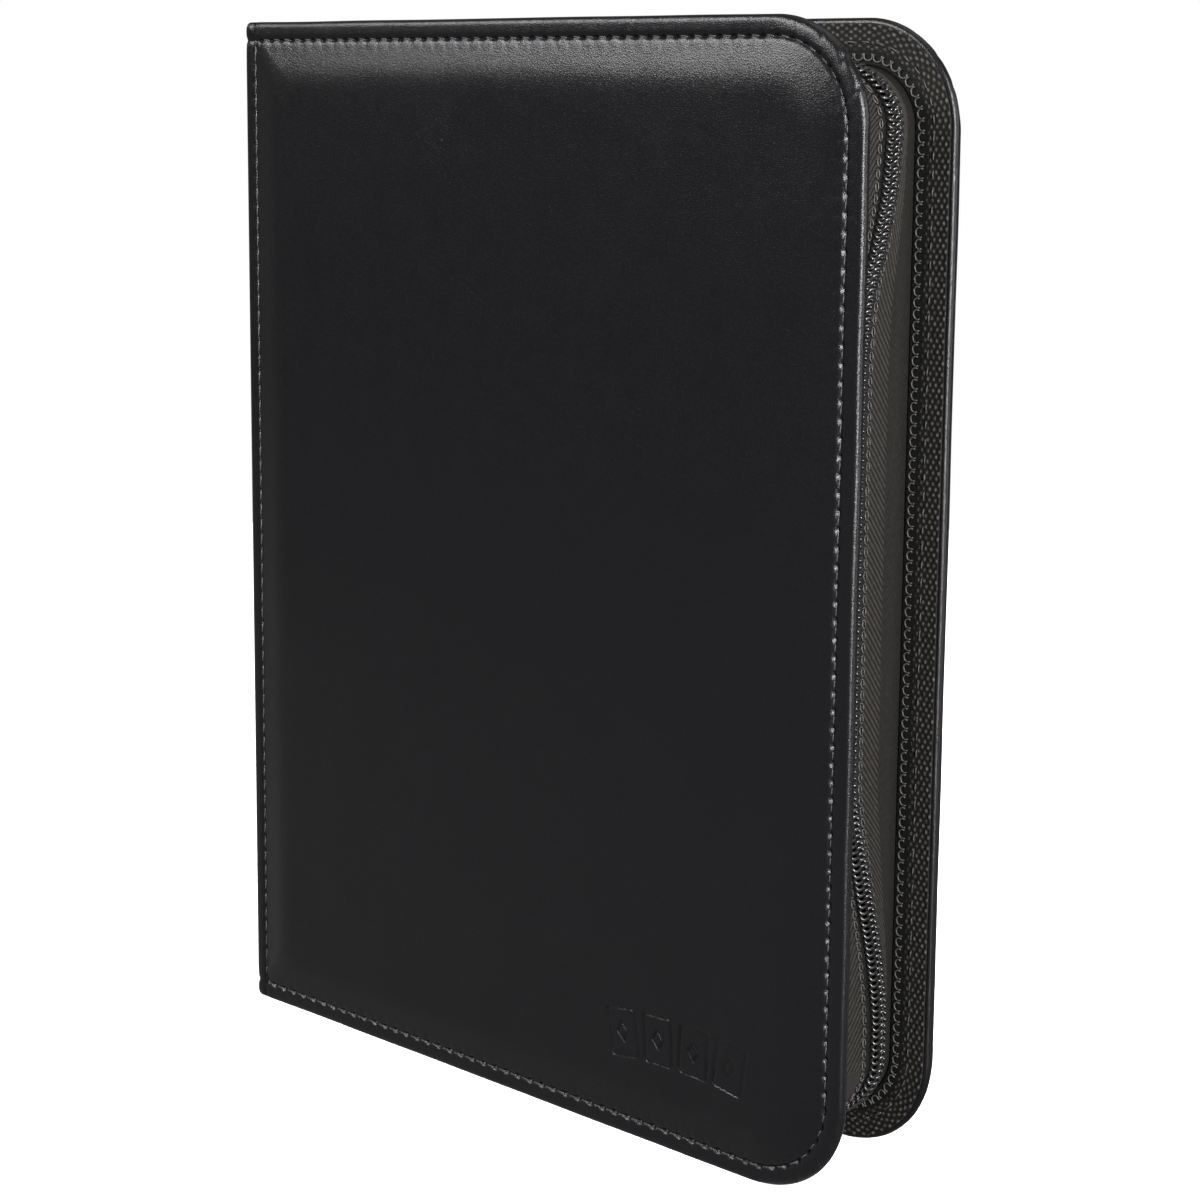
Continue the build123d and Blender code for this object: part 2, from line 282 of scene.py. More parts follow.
# ---------------------------------------------------------------- materials
class Surface:
    """A node material that is built up step by step, with lengths in millimetres."""

    def __init__(self, name, color, roughness, specular=0.5, metallic=0.0, sheen=0.0, coat=0.0):
        self.material = bpy.data.materials.new(name)
        self.material.use_nodes = True
        self.tree = self.material.node_tree
        self.shader = self.tree.nodes["Principled BSDF"]
        self.shader.inputs["Base Color"].default_value = (*color, 1)
        self.shader.inputs["Roughness"].default_value = roughness
        self.shader.inputs["Specular IOR Level"].default_value = specular
        self.shader.inputs["Metallic"].default_value = metallic
        self.shader.inputs["Sheen Weight"].default_value = sheen
        self.shader.inputs["Coat Weight"].default_value = coat
        coordinates = self.tree.nodes.new("ShaderNodeTexCoord")
        scale = self.tree.nodes.new("ShaderNodeMapping")
        scale.inputs["Scale"].default_value = (1 / MM, 1 / MM, 1 / MM)
        self.link(coordinates.outputs["Object"], scale.inputs["Vector"])
        self.place = scale.outputs["Vector"]

    def link(self, a, b):
        self.tree.links.new(a, b)

    def node(self, kind, **inputs):
        made = self.tree.nodes.new(kind)
        for name, value in inputs.items():
            self.put(made.inputs[name.replace("_", " ")], value)
        return made

    def put(self, socket, value):
        if isinstance(value, bpy.types.NodeSocket):
            self.link(value, socket)
        else:
            socket.default_value = value

    def noise(self, size, detail=2.0, place=None):
        """Smooth noise from 0 to 1 with features about size millimetres across."""
        made = self.node("ShaderNodeTexNoise", Vector=place or self.place, Scale=1 / size, Detail=detail)
        return made.outputs["Fac"]

    def cells(self, size, place=None, feature="DISTANCE_TO_EDGE"):
        made = self.tree.nodes.new("ShaderNodeTexVoronoi")
        made.feature = feature
        self.put(made.inputs["Vector"], place or self.place)
        made.inputs["Scale"].default_value = 1 / size
        return made.outputs["Distance"]

    def math(self, operation, a, b=0.0, clamp=False):
        made = self.tree.nodes.new("ShaderNodeMath")
        made.operation = operation
        made.use_clamp = clamp
        self.put(made.inputs[0], a)
        self.put(made.inputs[1], b)
        return made.outputs[0]

    def bend(self, size, amount):
        """Coordinates pushed about by noise."""
        shift = self.node("ShaderNodeTexNoise", Vector=self.place, Scale=1 / size)
        centre = self.tree.nodes.new("ShaderNodeVectorMath")
        centre.operation = "MULTIPLY_ADD"
        self.link(shift.outputs["Color"], centre.inputs[0])
        centre.inputs[1].default_value = (amount,) * 3
        self.link(self.place, centre.inputs[2])
        return centre.outputs[0]

    def long_creases(self, tilt, across, length):
        """Faint straight wrinkles that lean by tilt degrees in the upright plane, here and there."""
        turned = self.tree.nodes.new("ShaderNodeMapping")
        turned.vector_type = "TEXTURE"
        self.link(self.place, turned.inputs["Vector"])
        turned.inputs["Rotation"].default_value = (0, math.radians(tilt), 0)
        turned.inputs["Scale"].default_value = (length, across, across)
        line = self.math("ABSOLUTE", self.math("SUBTRACT", self.noise(1, 1, turned.outputs["Vector"]), 0.5))
        here = self.ramp(self.noise(38, 1), 0, 1, 0.54, 0.66)
        return self.math("MULTIPLY", self.ramp(line, 0, 1, 0, 0.035), here)

    def ramp(self, value, low, high, start=0.0, end=1.0):
        """Maps start..end of a value to low..high."""
        made = self.node("ShaderNodeMapRange", Value=value)
        made.inputs["From Min"].default_value = start
        made.inputs["From Max"].default_value = end
        made.inputs["To Min"].default_value = low
        made.inputs["To Max"].default_value = high
        return made.outputs["Result"]

    def blend_colors(self, share, first, second):
        made = self.tree.nodes.new("ShaderNodeMix")
        made.data_type = "RGBA"
        self.put(made.inputs[0], share)
        made.inputs[6].default_value = (*first, 1)
        made.inputs[7].default_value = (*second, 1)
        self.link(made.outputs[2], self.shader.inputs["Base Color"])

    def roughness(self, value, low, high):
        self.link(self.ramp(value, low, high), self.shader.inputs["Roughness"])

    def bump(self, *layers):
        """Each layer is (height value, depth in millimetres)."""
        normal = None
        for height, depth in layers:
            made = self.node("ShaderNodeBump", Height=height, Distance=depth * MM, Strength=1.0)
            if normal:
                self.link(normal, made.inputs["Normal"])
            normal = made.outputs["Normal"]
        self.link(normal, self.shader.inputs["Normal"])


def leatherette(name="leatherette", color=(0.0008, 0.0008, 0.001), patch_and_grain_top_color=(0.0018, 0.0018, 0.0021)):
    """Black coated leather: fine pebble grain, soft mottling, roughness that varies in patches, and a base
    colour a little lighter on the grain's raised cells in big random patches, so the crease lines keep a
    painted shade.
    """
    s = Surface(name, color, 0.33, specular=0.11)
    bent = s.bend(1.2, 0.8)
    creases = s.math("MULTIPLY", s.cells(0.7, bent), 2.4, clamp=True)
    fine = s.noise(0.26, 3)
    mottling = s.noise(9, 4)
    # Painted shade: the colour is lighter on the grain's raised cells, in big random patches, and the crease
    # lines stay darker.
    s.blend_colors(s.math("MULTIPLY", s.noise(28, 3), creases), color, patch_and_grain_top_color)
    s.roughness(s.math("ADD", s.math("MULTIPLY", mottling, 0.7), s.math("MULTIPLY", fine, 0.3)), 0.24, 0.34)
    s.bump((s.noise(26, 2), 0.2), (s.long_creases(26, 3.2, 30), 0.018), (creases, 0.036), (fine, 0.022))
    return s.material


def woven(name, color, light, thread, roughness=0.7, specular=0.25, yarn_top_highlight=0.1):
    """Cloth: yarns about thread millimetres wide, with painted shade in the gaps and painted highlight on the
    raised yarns that the mesh's relief marks.
    """
    s = Surface(name, color, roughness, specular=specular)
    yarns = s.cells(thread, s.bend(thread * 3, thread), feature="F1")
    height = s.tree.nodes.new("ShaderNodeAttribute")
    height.attribute_name = "relief"
    # Painted light: the colour goes towards the light one where the relief attribute and the yarn texture
    # stand high (painted highlight) and stays dark in the gaps (painted shade), varied in random patches.
    painted_relief_shade = s.math("MULTIPLY", height.outputs["Fac"], s.ramp(s.noise(1.6, 3), 0.55, 1.25, 0.25, 0.75))
    s.blend_colors(s.math("ADD", painted_relief_shade, s.ramp(yarns, 0, yarn_top_highlight), clamp=True), color, light)
    s.roughness(s.noise(1.2, 3), roughness - 0.1, roughness + 0.08)
    s.bump((yarns, thread * 0.35), (s.noise(thread * 0.4, 2), thread * 0.15))
    return s.material


def moulded(name, color, roughness, specular=0.5, grain=0.4, depth=0.01, **more):
    """Plastic or painted metal with a fine surface texture and faint handling marks."""
    s = Surface(name, color, roughness, specular=specular, **more)
    marks = s.noise(6, 5)
    lighter = tuple(c * 1.5 + 0.001 for c in color)
    s.blend_colors(marks, color, lighter)
    s.roughness(marks, roughness * 0.8, roughness * 1.25)
    s.bump((s.noise(grain, 2), depth))
    return s.material


def weld_lines(s):
    """1 on the welds between the pockets of a page, 0 elsewhere."""
    low, high = box_mm("page_01")
    axes = s.node("ShaderNodeSeparateXYZ", Vector=s.place).outputs
    lines = []
    for axis, start, end, count in ((0, low[0] + PAGE_MARGIN, high[0] - PAGE_EDGE, PAGE_COLUMNS),
                                    (2, low[2] + PAGE_EDGE, high[2] - PAGE_EDGE, PAGE_ROWS)):
        pitch = (end - start) / count
        steps = s.math("DIVIDE", s.math("SUBTRACT", axes[axis], start), pitch)
        away = s.math("ABSOLUTE", s.math("SUBTRACT", steps, s.math("ROUND", steps)))
        lines.append(s.ramp(away, 1, 0, 0.7 / pitch, 1.1 / pitch))
    return s.math("MAXIMUM", *lines)


def pocket_film():
    """Clear, slightly hazy plastic film, milky on the welds."""
    s = Surface("pocket_film", (0.012, 0.012, 0.0125), 0.14, specular=0.2)
    haze = s.noise(14, 4)
    weld = weld_lines(s)
    s.blend_colors(weld, (0.012, 0.012, 0.0125), (0.035, 0.035, 0.036))
    s.roughness(haze, 0.08, 0.2)
    s.link(s.ramp(weld, 0.22, 0.8, 0, 1), s.shader.inputs["Alpha"])
    s.bump((s.noise(22, 2), 0.5), (weld, -0.05))
    return s.material


def greyboard():
    """Recycled board: mottled fibres."""
    s = Surface("greyboard", (0.2, 0.18, 0.15), 0.9, specular=0.2)
    s.blend_colors(s.noise(0.8, 5), (0.16, 0.14, 0.12), (0.28, 0.25, 0.21))
    s.bump((s.noise(0.5, 4), 0.05))
    return s.material


LEATHER = leatherette()
THREAD = woven("thread", (0.003, 0.003, 0.003), (0.028, 0.027, 0.025), 0.12, roughness=0.5, specular=0.25)
WEBBING = woven("webbing", (0.0008, 0.0008, 0.0008), (0.03, 0.028, 0.025), 0.22, roughness=0.6,
                specular=0.04, yarn_top_highlight=0.03)
TAPE = woven("zip_tape", (0.0008, 0.0007, 0.0007), (0.0105, 0.0096, 0.0086), 0.34, specular=0.04, yarn_top_highlight=0.2)
LINING = woven("lining", (0.006, 0.006, 0.0065), (0.02, 0.02, 0.021), 0.3)
COIL = moulded("coil_nylon", (0.003, 0.003, 0.003), 0.28, specular=0.4, grain=0.25, depth=0.004)
METAL = moulded("zip_metal", (0.012, 0.012, 0.0125), 0.26, metallic=0.85, coat=0.3)
BACKING = moulded("page_backing", (0.006, 0.006, 0.0065), 0.5, specular=0.3, grain=0.5, depth=0.02)
FILM = pocket_film()
BOARD = greyboard()


# ---------------------------------------------------------------- thread
def stitch_parts(line, normals, pitch, length, radius, rise, slant=0.0, sections=7, sides=6):
    """Stitches along a line of close points: each rises from a hole, lies on the surface and dips again."""
    line = np.asarray(line, float)
    steps = np.linalg.norm(np.diff(line, axis=0), axis=1)
    s = np.concatenate([[0], np.cumsum(steps)])
    count = max(1, int(round(s[-1] / pitch)))
    centres = (np.arange(count) + 0.5) * s[-1] / count
    u = np.linspace(-1, 1, sections)
    at = centres[:, None] + u * length / 2

    def sample(values):
        return np.stack([np.interp(at, s, values[:, k]) for k in range(3)], axis=-1)

    middle = sample(line)
    up = sample(np.asarray(normals, float))
    up /= np.linalg.norm(up, axis=-1, keepdims=True)
    forward = np.gradient(middle, axis=1)
    forward /= np.linalg.norm(forward, axis=-1, keepdims=True)
    across = np.cross(forward, up)
    middle = middle + up * (rise * (1 - np.abs(u) ** 3) - radius * np.abs(u) ** 6)[None, :, None]
    middle = middle + across * (slant * u)[None, :, None]
    angle = np.linspace(0, 2 * math.pi, sides, endpoint=False)
    thick = radius * (1 - 0.35 * np.abs(u) ** 4)
    ring = (across[:, :, None, :] * np.cos(angle)[:, None] + up[:, :, None, :] * 0.8 * np.sin(angle)[:, None])
    points = middle[:, :, None, :] + ring * thick[None, :, None, None]
    one = tube_faces(sections, sides)
    faces = [[v + k * sections * sides for v in face] for k in range(count) for face in one]
    return points.reshape(-1, 3), faces


def tube_parts(line, radius, sides=6, closed=False, flat=1.0):
    """A round wire along a line of points."""
    line = np.asarray(line, float)
    if closed:
        forward = np.roll(line, -1, 0) - np.roll(line, 1, 0)
    else:
        forward = np.gradient(line, axis=0)
    forward /= np.linalg.norm(forward, axis=1, keepdims=True)
    guide = np.tile([0.0, 0.0, 1.0], (len(line), 1))
    guide[np.abs(forward[:, 2]) > 0.9] = [0.0, 1.0, 0.0]
    across = np.cross(forward, guide)
    across /= np.linalg.norm(across, axis=1, keepdims=True)
    up = np.cross(across, forward)
    angle = np.linspace(0, 2 * math.pi, sides, endpoint=False)
    ring = across[:, None] * np.cos(angle)[:, None] + up[:, None] * flat * np.sin(angle)[:, None]
    points = line[:, None] + ring * radius
    if closed:
        return points.reshape(-1, 3), grid_faces(len(line), sides, wrap_rows=True, wrap_columns=True)
    return points.reshape(-1, 3), tube_faces(len(line), sides)


# ---------------------------------------------------------------- covers
# Section of the rolled hem: (inset from the edge, depth below the rim's outside)
HEM_SECTION = [
    (6.5, 1.1), (6.25, 0.66), (6.0, 0.4), (5.55, 0.17), (4.9, 0.03), (4.0, 0.0), (3.0, 0.0), (2.0, 0.03),
    (1.25, 0.15), (0.65, 0.42), (0.25, 0.85), (0.04, 1.45), (0.0, 2.1), (0.1, 2.75), (0.42, 3.35),
    (1.0, 3.78), (2.0, 3.97), (4.0, 4.0), (8.0, 4.0), (12.0, 4.0), (HEM_END, 3.95), (HEM_END, 3.5),
    (11.5, 3.4), (8.0, 3.4), (6.8, 2.6),
]
# Padded panel: (distance in from the stitch line, height above the rim)
PANEL_RISE = [
    (0, -0.44), (0.3, -0.34), (0.7, -0.12), (1.2, 0.08), (2.2, 0.34), (4.0, 0.74), (6.5, 1.3), (9.5, 1.92),
    (12.5, 2.38), (16, 2.58), (20, 2.64), (26, 2.66), (60, 2.67), (130, 2.68),
]
# Stitches: pitch, length, thread radius and rise
PANEL_STITCH = (STITCH_PITCH, 2.7, 0.24, 0.16)
LINING_STITCH = (STITCH_PITCH, 2.8, 0.26, 0.25)
STITCH_RELIEF = 0.12
LOOP_RELIEF = 0.4
HOLE_SINK = 0.7
HOLE_REACH = 0.7
PANEL_BASE = -3.2
# Blind-stamped row of cards
MARK_AT = (RIGHT - 60, 36.0)
MARK_DEPTH = 0.42
CARD_PITCH = 14
CARD_HALF = (4.2, 6.4)
CARD_CORNER_R = 1.2
LOZENGE_HALF = (2.0, 3.0)
ARC_COUNT = 26
PANEL_BOX = (LEFT + STITCH_INSET, RIGHT - STITCH_INSET, STITCH_INSET, HEIGHT - STITCH_INSET)
PANEL_RADII = (CORNER_R - STITCH_INSET, CORNER_R - STITCH_INSET, 3.0, 3.0)
SPINE_BOX = (-SPINE_PANEL_HALF, SPINE_PANEL_HALF, STITCH_INSET, HEIGHT - STITCH_INSET)
SPINE_RADII = (3.0,) * 4


def stitch_ring(box, radii):
    """Closed line of a panel's stitches."""
    spread = [np.linspace(0, 1, 1000, endpoint=False)] * 4
    x, z = rounded_ring(*box, radii, spread, 120)
    return np.append(x, x[0]), np.append(z, z[0])


def holes(ring, x, z):
    """1 at the needle holes of a closed stitch line, 0 between them, for places near the line."""
    s = along(*ring)
    count = max(1, int(round(s[-1] / STITCH_PITCH)))
    nearest = np.array([np.argmin((ring[0] - a) ** 2 + (ring[1] - b) ** 2) for a, b in zip(x, z)])
    return (0.5 + 0.5 * np.cos(2 * math.pi * s[nearest] / s[-1] * count)) ** 3


def hem_relief(hole, s, inset, corner, seed):
    """How much the hem sinks: at needle holes, and a little everywhere."""
    relief = HOLE_SINK * hole * np.exp(-((inset - STITCH_INSET) / HOLE_REACH) ** 2)
    relief = relief - 0.05 * (1 - hole) * np.exp(-((inset - 4.6) / 1.1) ** 2)
    outer = np.exp(-((inset - 0.6) / 1.5) ** 2)
    relief = relief + 0.05 * corner * outer * waves(s, inset, seed, 5)
    relief = relief + (0.015 + 0.035 * corner) * np.clip(4.5 - inset, 0, None) ** 2
    return relief + 0.1 * waves(s, inset * 0.3, seed + 1, 45)


def corner_creases(turn, inset):
    """Depth of the few creases where the hem gathers round a corner. turn is the edge's direction."""
    depth = 0
    for at, width, deep in ((22, 1.0, 0.3), (40, 1.3, 0.5), (58, 0.9, 0.3)):
        gap = CORNER_R * np.radians(turn - at) + 0.9 * (inset - 1)
        depth = depth + deep * np.exp(-(gap / width) ** 2)
    return depth * np.exp(-((inset - 0.8) / 1.6) ** 2)


def cover_hem(side, name, x_start):
    """Rolled hem along the three free edges, folded over onto the inside face."""
    x, z, nx, nz = free_edge_path(x_start, 0.45)
    s = along(x - nx * STITCH_INSET, z - nz * STITCH_INSET)
    corner = curve_through(np.abs(nx * nz) * 2, [(0, 0), (0.3, 0.7), (1, 1)])
    ring = stitch_ring(PANEL_BOX, PANEL_RADII)
    hole = holes(ring, x - nx * STITCH_INSET, z - nz * STITCH_INSET)
    inset, depth = rounded_loop(HEM_SECTION).T
    relief = hem_relief(hole[:, None], s[:, None], inset[None, :], corner[:, None], 11 + side)
    turn = np.degrees(np.arctan2(np.abs(nz), nx))
    relief += corner_creases(turn[:, None], inset[None, :]) * (corner > 0)[:, None]
    relief *= np.clip((2.6 - depth) / 1.4, 0, 1)[None, :]
    squeeze = 0.1 * waves(s, 0 * s, 17 + side, 60)[:, None] * np.exp(-inset / 3)[None, :]
    inset = inset[None, :] + squeeze
    points = place(x[:, None] - nx[:, None] * inset, z[:, None] - nz[:, None] * inset,
                   RIM_OUT - depth[None, :] - relief, side)
    return new_object(name, points, tube_faces(len(s), points.shape[1]), LEATHER)


def card_outlines(x, z):
    """Depth, 0 to 1, of a blind-stamped row of four plain cards, each with a lozenge on it."""
    depth = np.zeros_like(x)
    for k in range(4):
        tilt = math.radians(9 - 6 * k)
        cx = MARK_AT[0] + CARD_PITCH * (k - 1.5)
        cz = MARK_AT[1] - 0.5 * (k - 1.5) ** 2
        across = (x - cx) * math.cos(tilt) + (z - cz) * math.sin(tilt)
        up = -(x - cx) * math.sin(tilt) + (z - cz) * math.cos(tilt)
        qx = np.abs(across) - CARD_HALF[0]
        qz = np.abs(up) - CARD_HALF[1]
        card = np.hypot(np.maximum(qx, 0), np.maximum(qz, 0)) + np.minimum(np.maximum(qx, qz), 0)
        card = card - CARD_CORNER_R
        lozenge = (np.abs(across) / LOZENGE_HALF[0] + np.abs(up) / LOZENGE_HALF[1] - 1) * 1.66
        for distance in (card, lozenge):
            depth = np.maximum(depth, np.clip(1.3 - np.abs(distance) / 0.36, 0, 1))
    return depth


def padded_panel(name, box, radii, rise, to_row, marked, seed, undulation=0.22):
    """Closed, crowned pad inside a stitch line. box is left, right, low and high of the stitch line,
    and to_row turns (across, up, height above the rim) into the row frame."""
    left, right, low, high = box
    step = 0.7
    spread = [np.linspace(0, 1, max(3, int(size / step)), endpoint=False)
              for size in (right - left, high - low, right - left, high - low)]
    half = min(right - left, high - low) / 2
    insets = [0, 0.2, 0.45, 0.75, 1.1, 1.5, 2.0, 2.6, 3.4, 4.4, 5.6, 7.0, 8.6, 10.4, 12.5, 15]
    if marked:
        spread[2] = np.linspace(0, 1, int((right - left) / 0.32), endpoint=False)
        insets += list(np.arange(16.2, 40, 0.36))
    insets = [i for i in insets if i < half - 3]
    insets += list(np.linspace(insets[-1], half - 0.4, 11)[1:])
    ring = stitch_ring(box, radii)
    hole = 0
    rows = []
    for inset in insets:
        ring_radii = [max(r - inset, 2.5 + 0.35 * inset) for r in radii]
        a, b = rounded_ring(left + inset, right - inset, low + inset, high - inset, ring_radii, spread,
                            ARC_COUNT)
        height = curve_through(np.full(len(a), inset), rise)
        if inset < 6:
            hole = holes(ring, a, b)
        height -= HOLE_SINK * hole * math.exp(-(inset / HOLE_REACH) ** 2)
        height -= 0.1 * (hole - 0.3) * math.exp(-((inset - 1.8) / 1.5) ** 2)
        drift = waves(a, b, seed, 95) + 0.35 * waves(a, b, seed + 1, 34)
        height += undulation * drift * min(1, inset / 14)
        if marked:
            height -= MARK_DEPTH * card_outlines(a, b)
        rows.append(to_row(a, b, height))
    count = len(rows[0])
    a, b = rounded_ring(left, right, low, high, radii, spread, ARC_COUNT)
    base = to_row(a, b, np.full(count, PANEL_BASE))
    points = np.concatenate([base] + rows)
    faces = grid_faces(len(rows) + 1, count, wrap_columns=True)
    faces.append(list(range(count)))
    return new_object(name, points, faces + middle_faces(spread, len(rows) * count, count), LEATHER)


def middle_faces(spread, start, count):
    """Faces that close a panel's innermost ring: quads between its long sides and a cap at each end."""
    first = len(spread[0]) + ARC_COUNT
    across = len(spread[1])
    other = first + across + ARC_COUNT + len(spread[2]) + ARC_COUNT
    right = list(range(first, first + across + 1))
    left = [(other + across - k) % count for k in range(across + 1)]
    faces = [[start + right[k], start + left[k], start + left[k + 1], start + right[k + 1]]
             for k in range(across)]
    faces.append([start + k % count for k in range(other + across, count + first + 1)])
    faces.append([start + k for k in range(first + across, other + 1)])
    return faces


def cover_panel(side, name):
    def to_row(x, z, height):
        return place(x, z, RIM_OUT + height, side)

    return padded_panel(name, PANEL_BOX, PANEL_RADII, PANEL_RISE, to_row, side < 0, 31 + side)


def cover_stitches(side, name):
    """Thread round the panel, outside, and along the ribbon, inside."""
    x, z = stitch_ring(PANEL_BOX, PANEL_RADII)
    outside = place(x, z, np.full(len(x), RIM_OUT - STITCH_DEPTH), side)
    up = np.tile([0.0, side, 0.0], (len(x), 1))
    thread = [stitch_parts(outside, up, *PANEL_STITCH, slant=0.12)]
    px, pz, nx, nz = free_edge_path(LEFT + 20, 1.0)
    inset = STITCH_INSET + 1
    inside = place(px - nx * inset, pz - nz * inset, np.full(len(px), INNER - 0.62), side)
    up = np.tile([0.0, -side, 0.0], (len(px), 1))
    thread.append(stitch_parts(inside, up, *LINING_STITCH, slant=0.1))
    points, faces = join_points(thread)
    return new_object(name, points, faces, THREAD, np.full(len(points), STITCH_RELIEF))


WEBBING_ROW = 1.62
WEBBING_DASH = 2.05
RIBBON_LOOP_PITCH = 3.4


def ribbon_weave(s, t):
    """Coarse webbing, 0 to 1: rows of short raised dashes across the ribbon, staggered from row to row,
    and a plain low margin for the loops along its inner edge. As the ribbon's relief it also paints highlight
    on the dashes and shade between them and on the margin."""
    row = s / WEBBING_ROW
    number = np.floor(row)
    stagger = 0.5 * (number % 2) + 0.07 * np.sin(number * 2.4) + 0.05 * np.sin(s / 7)
    thread = np.abs(np.sin(math.pi * row)) ** 1.6
    dash = 0.5 + 0.5 * np.cos(2 * math.pi * (t / WEBBING_DASH + stagger))
    strength = 0.75 + 0.25 * np.sin(number * 1.7 + np.floor(t / WEBBING_DASH) * 2.1)
    short = np.clip(t / 9, 0, 1) * 0.35
    weave = 0.02 + thread * np.clip(dash * 1.9 - 0.75 - short, 0, 1) * strength
    return weave * np.clip((9.4 - t) / 0.4, 0.04, 1)


def edge_webbing(side, name):
    """Ribbon over the zip tape's seam, on the inside margin of the cover."""
    x, z, nx, nz = free_edge_path(LEFT + 19, 0.22)
    s = along(x - nx * 6, z - nz * 6)
    t = np.linspace(WEBBING_NEAR, WEBBING_FAR, 52)
    weave = ribbon_weave(s[:, None], t[None, :])
    edge = np.minimum(t - WEBBING_NEAR, WEBBING_FAR - t)
    lift = 0.1 + 0.36 * weave
    bead, drop = 0.08 * np.exp(-((edge - 0.5) / 0.4) ** 2), 0.1 * np.exp(-(edge / 0.12) ** 2)
    lift = lift + bead[None, :] - drop[None, :]
    lift = lift + 0.06 * waves(s[:, None], t[None, :], 51 + side, 22)
    inset = np.concatenate([t, [WEBBING_FAR, WEBBING_NEAR]])
    lift = np.concatenate([lift, np.full((len(s), 2), -0.2)], axis=1)
    # The weave, as relief, paints highlight on the raised dashes and shade between them.
    relief = np.concatenate([weave, np.zeros((len(s), 2))], axis=1)
    points = place(x[:, None] - nx[:, None] * inset, z[:, None] - nz[:, None] * inset,
                   INNER - 0.32 - lift, side)
    return new_object(name, points, tube_faces(len(s), len(inset)), WEBBING, relief)


def ribbon_loops(side, name):
    """Chain of small thread loops that holds the ribbon's inner edge to the zip tape."""
    x, z, nx, nz = free_edge_path(LEFT + 21, 0.5)
    inset = ZIP_INSET - 3.0
    line_x, line_z = x - nx * inset, z - nz * inset
    s = along(line_x, line_z)
    count = int(s[-1] / RIBBON_LOOP_PITCH)
    angle = np.radians(np.linspace(-210, 30, 13))
    parts = []
    for k in range(count):
        at = (k + 0.5) * s[-1] / count
        cx, cz = np.interp(at, s, line_x), np.interp(at, s, line_z)
        ux, uz = np.interp(at, s, nx), np.interp(at, s, nz)
        length = math.hypot(ux, uz)
        ux, uz = ux / length, uz / length
        a = 1.45 * np.cos(angle)
        b = 1.35 * np.sin(angle)
        lift = INNER - 0.8 - 0.15 * np.cos(angle)
        ring = place(cx - uz * a + ux * b, cz + ux * a + uz * b, lift, side)
        parts.append(tube_parts(ring, 0.3, sides=6, flat=0.8))
    points, faces = join_points(parts)
    return new_object(name, points, faces, THREAD, np.full(len(points), LOOP_RELIEF))


# ---------------------------------------------------------------- zip
# How far the closed chain strays from the middle plane, towards the back cover, by place on its way:
# (share of the way from the top of the spine round to the bottom of the spine, millimetres)
CHAIN_WANDER = [
    (0.0, 0.0), (0.12, 0.4), (0.24, 2.5), (0.29, 6.5), (0.325, 9.3), (0.351, 7.5), (0.362, 5.0), (0.373, 2.0),
    (0.387, -3.0), (0.4, -5.2), (0.42, -6.5), (0.56, -6.5), (0.575, -4.0), (0.59, 0.0), (0.604, 3.6),
    (0.632, 10.5), (0.656, 13.5), (0.668, 13.5), (0.7, 9.0), (0.735, 2.0), (0.78, 0.0), (1.0, 0.0),
]
COIL_PITCH = 2.1
COIL_SAMPLES = 14
COIL_OUT, COIL_REACH = 1.75, 1.55
COIL_DOWN, COIL_RISE = 1.15, 0.72
COIL_LEAN = 0.28
RIB_SLOPE = 1.7
STEEP_RIB, FINE_RIB = 2.4, 2.0
STEEP_END = 12.4
CORD_AT = 4.1
TAPE_LOOP_PITCH = 3.55
TAPE_BACK_RELIEF = 0.4


def wander(share):
    return curve_through(share, CHAIN_WANDER)


def coil_wave(u, side):
    """Lean, reach and height, -1 to 1, after u turns of a coil with flattened turns. The two halves are
    half a turn apart, so that their heads mesh."""
    phase = 2 * math.pi * (u + (0.5 if side > 0 else 0.0))
    reach = np.sign(np.cos(phase)) * np.abs(np.cos(phase)) ** 0.8
    height = np.sign(np.sin(phase)) * np.abs(np.sin(phase)) ** 0.7
    return np.sin(2 * phase), reach, height


def tape_face():
    """Places across a tape's outer face, how far it bows out there, and its corded edge."""
    face = np.linspace(TAPE_NEAR, INNER + 0.2, 58)[None, :]
    bow = 0.5 * np.sin(math.pi * (face - TAPE_NEAR) / (INNER - TAPE_NEAR))
    cord = 0.35 * np.exp(-((face - TAPE_NEAR - CORD_AT) / 0.45) ** 2)
    return face, bow, cord


def tape_relief(s, out):
    """Herringbone, 0 to 1: steep ribs near the chain, finer opposite ones near the cover. As relief it also
    paints highlight on the ribs and shade in their grooves, with more painted shade in the strip next to the
    chain.
    """
    t = out - TAPE_NEAR
    steep = np.abs(np.sin(math.pi * (s - RIB_SLOPE * t) / STEEP_RIB)) ** 2.2
    fine = 0.04 + 0.4 * np.abs(np.sin(math.pi * (s + RIB_SLOPE * t) / FINE_RIB)) ** 1.5
    relief = np.where(t < STEEP_END, steep, fine)
    relief = relief + (0.25 - relief) * np.exp(-((t - STEEP_END) / 0.9) ** 4)
    return relief * np.clip((t - 3.6) / 0.8, 0.25, 1)


def tape_points(side, x, z, nx, nz, share, out, inset):
    """Points of a tape, which follows the chain's wander at its near edge and the cover at its far one."""
    slack = np.clip((INNER - out) / (INNER - TAPE_NEAR), 0, 1)
    points = place(x - nx * inset, z - nz * inset, out, side)
    points[..., 1] += wander(share) * slack
    return points


